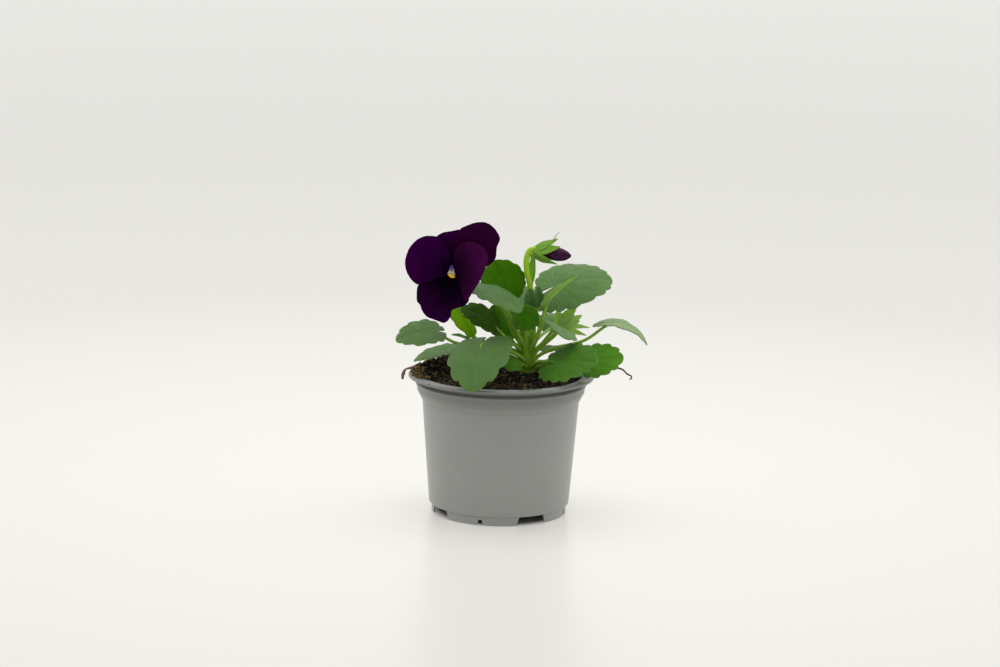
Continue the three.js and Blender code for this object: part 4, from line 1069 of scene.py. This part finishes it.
PETALS = [
    dict(name="petal_upper_left", layer=-2, tilt=0, skin=LEFT_PETAL, outline=[
        (-0.6, 1.3), (0.6, 1.3), (4, 9), (7, 17), (5, 23), (1.3, 24.6), (-3, 23.6), (-8, 22.4), (-12, 19.5),
        (-13, 14), (-10, 8), (-5, 4.5)]),
    dict(name="petal_upper_right", layer=-1, tilt=0, skin=UPPER_PETAL, outline=[
        (1.4, 0.6), (8, 2.5), (15, 4), (20.2, 6), (23.8, 9.8), (24.4, 16), (26, 21.4), (22.9, 26.3),
        (18.8, 29.1), (14.1, 29.6), (8.1, 27.8), (2, 24.5), (-2, 18), (-1, 10), (0.4, 1.6)]),
    dict(name="petal_lower", layer=0, tilt=0, skin=LOWER_PETAL, outline=[
        (-1.8, -1), (-7, -1.5), (-14, -3.5), (-20, -7.7), (-20.8, -12.7), (-20.6, -16.7), (-18.5, -18.6),
        (-16.5, -21.8), (-13.3, -24.6), (-8.8, -26.1), (-3, -27.2), (0.2, -23.4), (0.5, -20.5), (4.3, -18.4),
        (7.7, -17.2), (10.5, -14), (9, -8), (4.5, -1.6), (1.8, -1)]),
    dict(name="petal_left", layer=1, tilt=0, skin=LEFT_PETAL, outline=[
        (-1.2, -0.4), (-1.1, 2.4), (-1.6, 9.9), (-4.1, 15.4), (-8.7, 19.8), (-12.7, 20.4), (-17, 19.9),
        (-21.7, 17.5), (-26.7, 12.3), (-28, 6.5), (-26.9, 0.5), (-24, -4.3), (-19.5, -7.2), (-16.9, -6.2),
        (-10.6, -4), (-4, -1.4)]),
    dict(name="petal_right", layer=1, tilt=24, skin=RIGHT_PETAL, outline=[
        (1.2, -0.6), (4.2, -1.6), (7.6, -7), (11.3, -13.1), (12.8, -13.6), (17.8, -7.4), (22.5, -1.4),
        (26, 5.2), (27.3, 10.1), (24.7, 14.7), (21.1, 16.8), (15.8, 18.4), (10, 18.2), (4.4, 15.5),
        (0.7, 10), (1.1, 3)]),
]


def petal(spec):
    bm = bmesh.new()
    turn = radians(spec["tilt"])
    layer = spec["layer"]

    def surface(x, y):
        out = hypot(x, y) / PETAL_UNIT
        around = atan2(y, x)
        ruffle = out * out * (0.7 * sin(6 * around + 1) + 0.35 * sin(11 * around))
        return in_flower(x * cos(turn), y, layer * LAYER + x * sin(turn) + ruffle)

    margin = closed_margin(spec["outline"], 150)
    centre = sum(margin, Vector((0, 0))) / len(margin)
    for k, point in enumerate(margin):
        # the margin is faintly frayed, never by more than a third of a millimetre
        fray = 1 + 0.012 * noise.noise((point.x * 0.6, point.y * 0.6, layer))
        margin[k] = centre + (point - centre) * fray
    crinkle = lambda x, y, share: 0.16 * noise.noise((atan2(y, x) * 7, hypot(x, y) * 0.08, layer)) * share
    add_sheet(bm, surface, margin, centre, PETAL_THICKNESS, rings=12, unit=PETAL_UNIT, relief=crinkle)
    if spec["name"] == "petal_lower":
        spur = flower_line((0, -4, 0.1), (0, -4.6, -3), (0.2, -4.8, -6.5), (0.3, -4.6, -8.5))
        add_stem(bm, spur, lambda share: 1.1 + 0.3 * sin(pi * share), 12, 10)
    make_piece(bm, "velvet_" + spec["name"], spec["name"], [spec["skin"]])


def throat():
    """The yellow lip below the opening, and the pale beard of hairs on the side petals above it."""
    bm = bmesh.new()
    tilt = Matrix((RIGHTWARD, UPWARD, FACING)).transposed().to_4x4()
    at = Matrix.Translation(in_flower(0.6, -0.9, 1.5)) @ tilt @ Matrix.Diagonal((2.8, 1.3, 1.3, 1))
    verts = bmesh.ops.create_uvsphere(bm, u_segments=24, v_segments=14, radius=1, matrix=at)["verts"]
    for vert in verts:
        # the lip is a crescent: its ends turn up round the opening
        offset = vert.co - EYE
        vert.co += UPWARD * 0.15 * (offset.dot(RIGHTWARD) - 0.6) ** 2
    make_piece(bm, "throat_lip", None, [YELLOW])
    dice = Random(21)
    bm = bmesh.new()
    for _ in range(BEARD_HAIRS):
        side = dice.choice((-1, 1))
        up = dice.uniform(0.2, 4.6)
        out = side * (2.7 - 0.42 * up) * dice.uniform(0.45, 1.0) + 0.2
        root = in_flower(out, up, 1.6 + 0.45 * max(0, out))
        way = FACING + 0.5 * dice.gauss(0, 0.6) * UPWARD - side * dice.uniform(0.2, 1.0) * RIGHTWARD
        tip = root + way.normalized() * dice.uniform(0.7, 1.3)
        bent = [root, root.lerp(tip, 0.6) - 0.1 * UPWARD, tip - 0.15 * UPWARD]
        lilac = 1 if up + dice.gauss(0, 0.6) > 2.5 else 0
        add_stem(bm, bent, lambda share: 0.13 - 0.05 * share, 3, 2, lilac)
    make_piece(bm, "throat_beard", None, [BEARD_HAIR, LILAC_HAIR])


CALYX_DEPTH = -2.6 * LAYER
SEPAL_TURNS = (72, 134, 196, 326, 20)


def flower_calyx():
    bm = bmesh.new()
    cup = flower_line((0, 0, CALYX_DEPTH + 0.2), (0, 0.1, CALYX_DEPTH - 2.5), (0, 0.5, CALYX_DEPTH - 5))
    add_stem(bm, cup, lambda share: 2.3 - 0.9 * share * share, 18, 8, 1)
    for degrees in SEPAL_TURNS:
        way = radians(degrees)
        root = in_flower(0.4 * cos(way), 0.4 * sin(way), CALYX_DEPTH - 1)
        tip = in_flower(10.5 * cos(way), 10.5 * sin(way), CALYX_DEPTH - 3.4)
        add_spear(bm, root, tip, FACING, 5, droop=-14, cup=12)
    line = smooth_line([
        in_flower(0, 0.3, CALYX_DEPTH - 4), in_flower(0.6, 0.8, CALYX_DEPTH - 7.5),
        in_flower(3, -1, CALYX_DEPTH - 10.5),
        (-15, 3, 131), (-5, 5, 121), (2.2, 5, 111), (6.6, 4, 102), (13, 5, 93),
    ])
    add_stem(bm, line, lambda share: 1.05 + 0.35 * share, 12, 48)
    make_piece(bm, "calyx_and_flower_stalk", "flower_calyx", [FLOWER_STALK_GREEN, SEPAL_SKIN])


def pistil():
    bm = bmesh.new()
    line = flower_line((0, 0, CALYX_DEPTH + 0.6), (0, 0, -1), (0, 0.2, 1.2), (0, 1.1, 2.9))
    add_stem(bm, line, lambda share: 0.55 + 0.5 * share * share, 16, 12)
    make_piece(bm, "style_and_stigma", "pistil", [STIGMA])


# Bud

# The radius of the rolled petals from their base to the tip, as shares of the largest
BUD_SHARE = (0.35, 0.62, 0.9, 1, 1, 0.9, 0.68, 0.2)
BUD_RADIUS = 3.7
BUD_HAIRS = 60
BUD_SEPALS = [
    dict(tip=(30.3, -2.5, 157), face=(0.35, 0.55, -0.75), width=6.5),
    dict(tip=(31.6, -6.8, 153), face=(0.2, 0.8, -0.6), width=6.5),
    dict(tip=(29, -6.4, 143.2), face=(0.3, 0.7, 0.7), width=6.5),
    dict(tip=(30.4, -0.6, 142.2), face=(0.3, -0.1, 1), width=6.5),
    dict(tip=(31, 3.6, 149.5), face=(0.2, -1, 0), width=6),
]


def bud_petals():
    """Petals rolled into a spindle, each lapping over the next in a slow spiral."""
    bm = bmesh.new()
    start = BUD_BASE.lerp(BUD_TIP, 0.12)
    belly = start.lerp(BUD_TIP, 0.5) + Vector((0, 0, 0.4))
    line = interpolate_bezier(start, start.lerp(belly, 2 / 3), BUD_TIP.lerp(belly, 2 / 3), BUD_TIP, 30)

    def radius(share):
        place = share * (len(BUD_SHARE) - 1)
        low = min(len(BUD_SHARE) - 2, int(place))
        return BUD_RADIUS * (BUD_SHARE[low] + (BUD_SHARE[low + 1] - BUD_SHARE[low]) * (place - low))

    def laps(share, turn):
        # three petals rise slowly round the roll, with a groove where each one ends
        place = (3 * turn / tau + 1.1 * share) % 1
        groove = 0.105 * exp(-((place / 0.07) ** 2))
        return radius(share) * (0.09 * (place - 0.5) - groove)

    add_stem(bm, line, radius, 48, 36, 0, laps)
    make_piece(bm, "rolled_bud_petals", "bud_petals", [ROLLED_PETAL])


def bud_calyx():
    bm = bmesh.new()
    cup = [BUD_BASE + Vector(step) for step in ((-4, 0.9, -2.8), (-1.8, 0.4, -1), (1.6, -0.3, 0))]
    add_stem(bm, smooth_line(cup), lambda share: 1.7 + 1.1 * share, 20, 10, 1)
    for sepal in BUD_SEPALS:
        side = Vector(sepal["tip"]) - BUD_BASE
        auricle = BUD_BASE + 2.7 * Vector((0, side.y, side.z)).normalized() + Vector((-3.6, 0.6, 0))
        add_spear(bm, auricle, droop=16, cup=-20, **sepal)
    line = smooth_line([
        BUD_BASE + Vector((0.5, 0, 0)), (17.4, 0.9, 150.2), (14.8, 1.4, 149.4), (13.1, 2, 144.4),
        (13.5, 3, 137), (15.4, 5.4, 129.4), (16.2, 6.6, 120.7), (15.7, 7.2, 110), (15.4, 6.8, 99),
    ])
    ridges = lambda share, turn: 0.09 * cos(4 * turn)
    add_stem(bm, line, lambda share: 1.8 - 0.35 * share, 16, 60, 0, ridges)
    add_spear(bm, (15.1, 5, 127), (17.2, 0.2, 151), (0.15, -0.95, 0.1), 5, droop=-8, cup=40)
    make_piece(bm, "bud_calyx_and_stalk", "bud_calyx", [BUD_STALK_GREEN, SEPAL_SKIN])


def bud_hairs():
    """The one long hair above the bud, and short ones along both sides of its stalk."""
    dice = Random(33)
    bm = bmesh.new()
    long_hair = smooth_line([(28, -3, 155.5), (28.4, -3.2, 157.5), (29.6, -3.2, 159.3), (30.9, -3.4, 160.8)])
    add_stem(bm, long_hair, lambda share: 0.28 - 0.14 * share, 5, 8, 1)
    for _ in range(BUD_HAIRS):
        root = Vector((dice.uniform(13, 16), dice.uniform(2, 6), dice.uniform(124, 146)))
        root.x = 13.8 + 0.16 * max(0, 137 - root.z) + dice.choice((-1.4, 1.4))
        root.y = 2 + 0.2 * max(0, 144 - root.z)
        tip = root + Vector((dice.gauss(0, 0.3), -0.6, dice.gauss(0, 0.3)))
        add_stem(bm, [root, tip], lambda share: 0.05 - 0.03 * share, 3, 1)
    make_piece(bm, "bud_hairs", None, [LEAF_HAIR, LONG_HAIR])


# Twig and fibre

def twig():
    bm = bmesh.new()
    line = smooth_line([(38, 4, 74.5), (46, 2, 80.8), (56, -1, 83.8), (65.4, -2, 84), (68.9, -2, 82.9),
                        (71.1, -3, 80.8), (73.6, -3, 79.6), (73.8, -3, 78.4), (72.6, -3, 77.7)])
    knots = lambda share, turn: 0.12 * noise.noise((share * 30, cos(turn), sin(turn)))
    add_stem(bm, line, lambda share: 0.65 - 0.2 * share, 8, 44, 0, knots)
    make_piece(bm, "dry_twig", "twig", [DRY_WOOD])


def fibre():
    bm = bmesh.new()
    line = smooth_line([(-41, 6, 80), (-47.5, 5, 81), (-51, 4, 80.6), (-54.4, 4, 79.6), (-55.8, 4, 77),
                        (-56.3, 4, 74)])

    def shreds(share, turn):
        return (0.3 + 0.5 * share) * noise.noise((share * 14, 1.5 * cos(turn), 1.5 * sin(turn)))

    add_stem(bm, line, lambda share: 0.7 + 0.15 * sin(share * 17), 10, 40, 0, shreds)
    make_piece(bm, "bark_shred", "fibre", [DRY_SHRED])


# Stage: floor, light and camera

LIGHT_AIM = Vector((0, 0, 0.09))
CAMERA_DISTANCE = 1200


def pale_floor():
    """A pale satin tabletop that runs on to the horizon, and glows round the pot as painted light."""
    material, tree = new_material("pale_studio_floor")
    off = add_node(tree, "VectorMath", {"operation": "SUBTRACT"}, {0: place_of(tree), 1: tuple(POT_AXIS)})
    far = length_of(tree, off.outputs[0])
    # the table glows as painted light, most round the pot and less further off, so that shadows stay faint,
    # but not under the pot
    open_air = ranged(tree, far, 0.033, 0.04, kind="LINEAR")
    glow_round_pot = ranged(tree, far, 0.1, 0.8, 0.39, 0.2, "LINEAR")
    end_in(tree, {
        "Base Color": blend(tree, ranged(tree, far, 0.3, 3.0), "#b4b2ae", "#b2b1ae"),
        "Roughness": 0.3, "Specular IOR Level": 0.25,
        "Emission Color": linear("#f8f4ee"), "Emission Strength": calculate(tree, "MULTIPLY", glow_round_pot, open_air),
    })
    bm = bmesh.new()
    bmesh.ops.create_circle(bm, cap_ends=True, radius=30, segments=64)
    mesh = bpy.data.meshes.new("studio_floor")
    bm.to_mesh(mesh)
    bm.free()
    mesh.materials.append(material)
    floor = bpy.data.objects.new("studio_floor", mesh)
    bpy.context.collection.objects.link(floor)


def area_light(name, place, size, watts):
    """A round soft box that shines on the middle of the plant."""
    light = bpy.data.lights.new(name, "AREA")
    light.shape = "DISK"
    light.size = size
    light.energy = watts
    lamp = bpy.data.objects.new(name, light)
    lamp.location = place
    lamp.rotation_euler = (LIGHT_AIM - Vector(place)).to_track_quat("-Z", "Y").to_euler()
    bpy.context.collection.objects.link(lamp)


def studio_light():
    """A light tent: bright above, behind and at the sides, dimmer on the side of the camera."""
    world = bpy.data.worlds.new("light_tent")
    world.use_nodes = True
    tree = world.node_tree
    tree.nodes.clear()
    backward = parts_of(tree, add_node(tree, "TexCoord").outputs["Generated"])[1]
    tone = blend(tree, ranged(tree, backward, -1.0, 0.3), "#c2c3c0", "#f4f5f2")
    sky = add_node(tree, "Background", {}, {"Color": tone, "Strength": 1.12}).outputs[0]
    add_node(tree, "OutputWorld", {}, {"Surface": sky})
    bpy.context.scene.world = world
    area_light("overhead_soft_box", (0, 0.25, 1.5), 1.2, 5)
    area_light("left_soft_box", (-1.3, 0.5, 0.8), 0.8, 1.5)
    area_light("right_soft_box", (1.3, 0.5, 0.8), 0.8, 1.5)


def camera():
    """The photograph's view: from the front, a little above, rolled by about a degree."""
    elevation = radians(9.79)
    roll = radians(1.1)
    aim = Vector((-1.1, 0, 102.1))
    back = Vector((0, -cos(elevation), sin(elevation)))
    level = Vector((1, 0, 0))
    upright = back.cross(level)
    right = level * cos(roll) + upright * sin(roll)
    up = upright * cos(roll) - level * sin(roll)
    lens = bpy.data.cameras.new("photo_camera")
    lens.lens = 76.45
    lens.sensor_width = 36
    eye = bpy.data.objects.new("photo_camera", lens)
    turned = Matrix((right, up, back)).transposed().to_4x4()
    eye.matrix_world = Matrix.Translation((aim + CAMERA_DISTANCE * back) * MM + POT_AXIS) @ turned
    bpy.context.collection.objects.link(eye)
    bpy.context.scene.camera = eye


nursery_pot()
potting_mix()
soil_crumbs()
soil_fibres()
crown()
for leaf_spec in LEAVES:
    pansy_leaf(leaf_spec)
for petal_spec in PETALS:
    petal(petal_spec)
throat()
flower_calyx()
pistil()
bud_petals()
bud_calyx()
bud_hairs()
twig()
fibre()
pale_floor()
studio_light()
camera()
bpy.context.scene.view_settings.view_transform = "Standard"
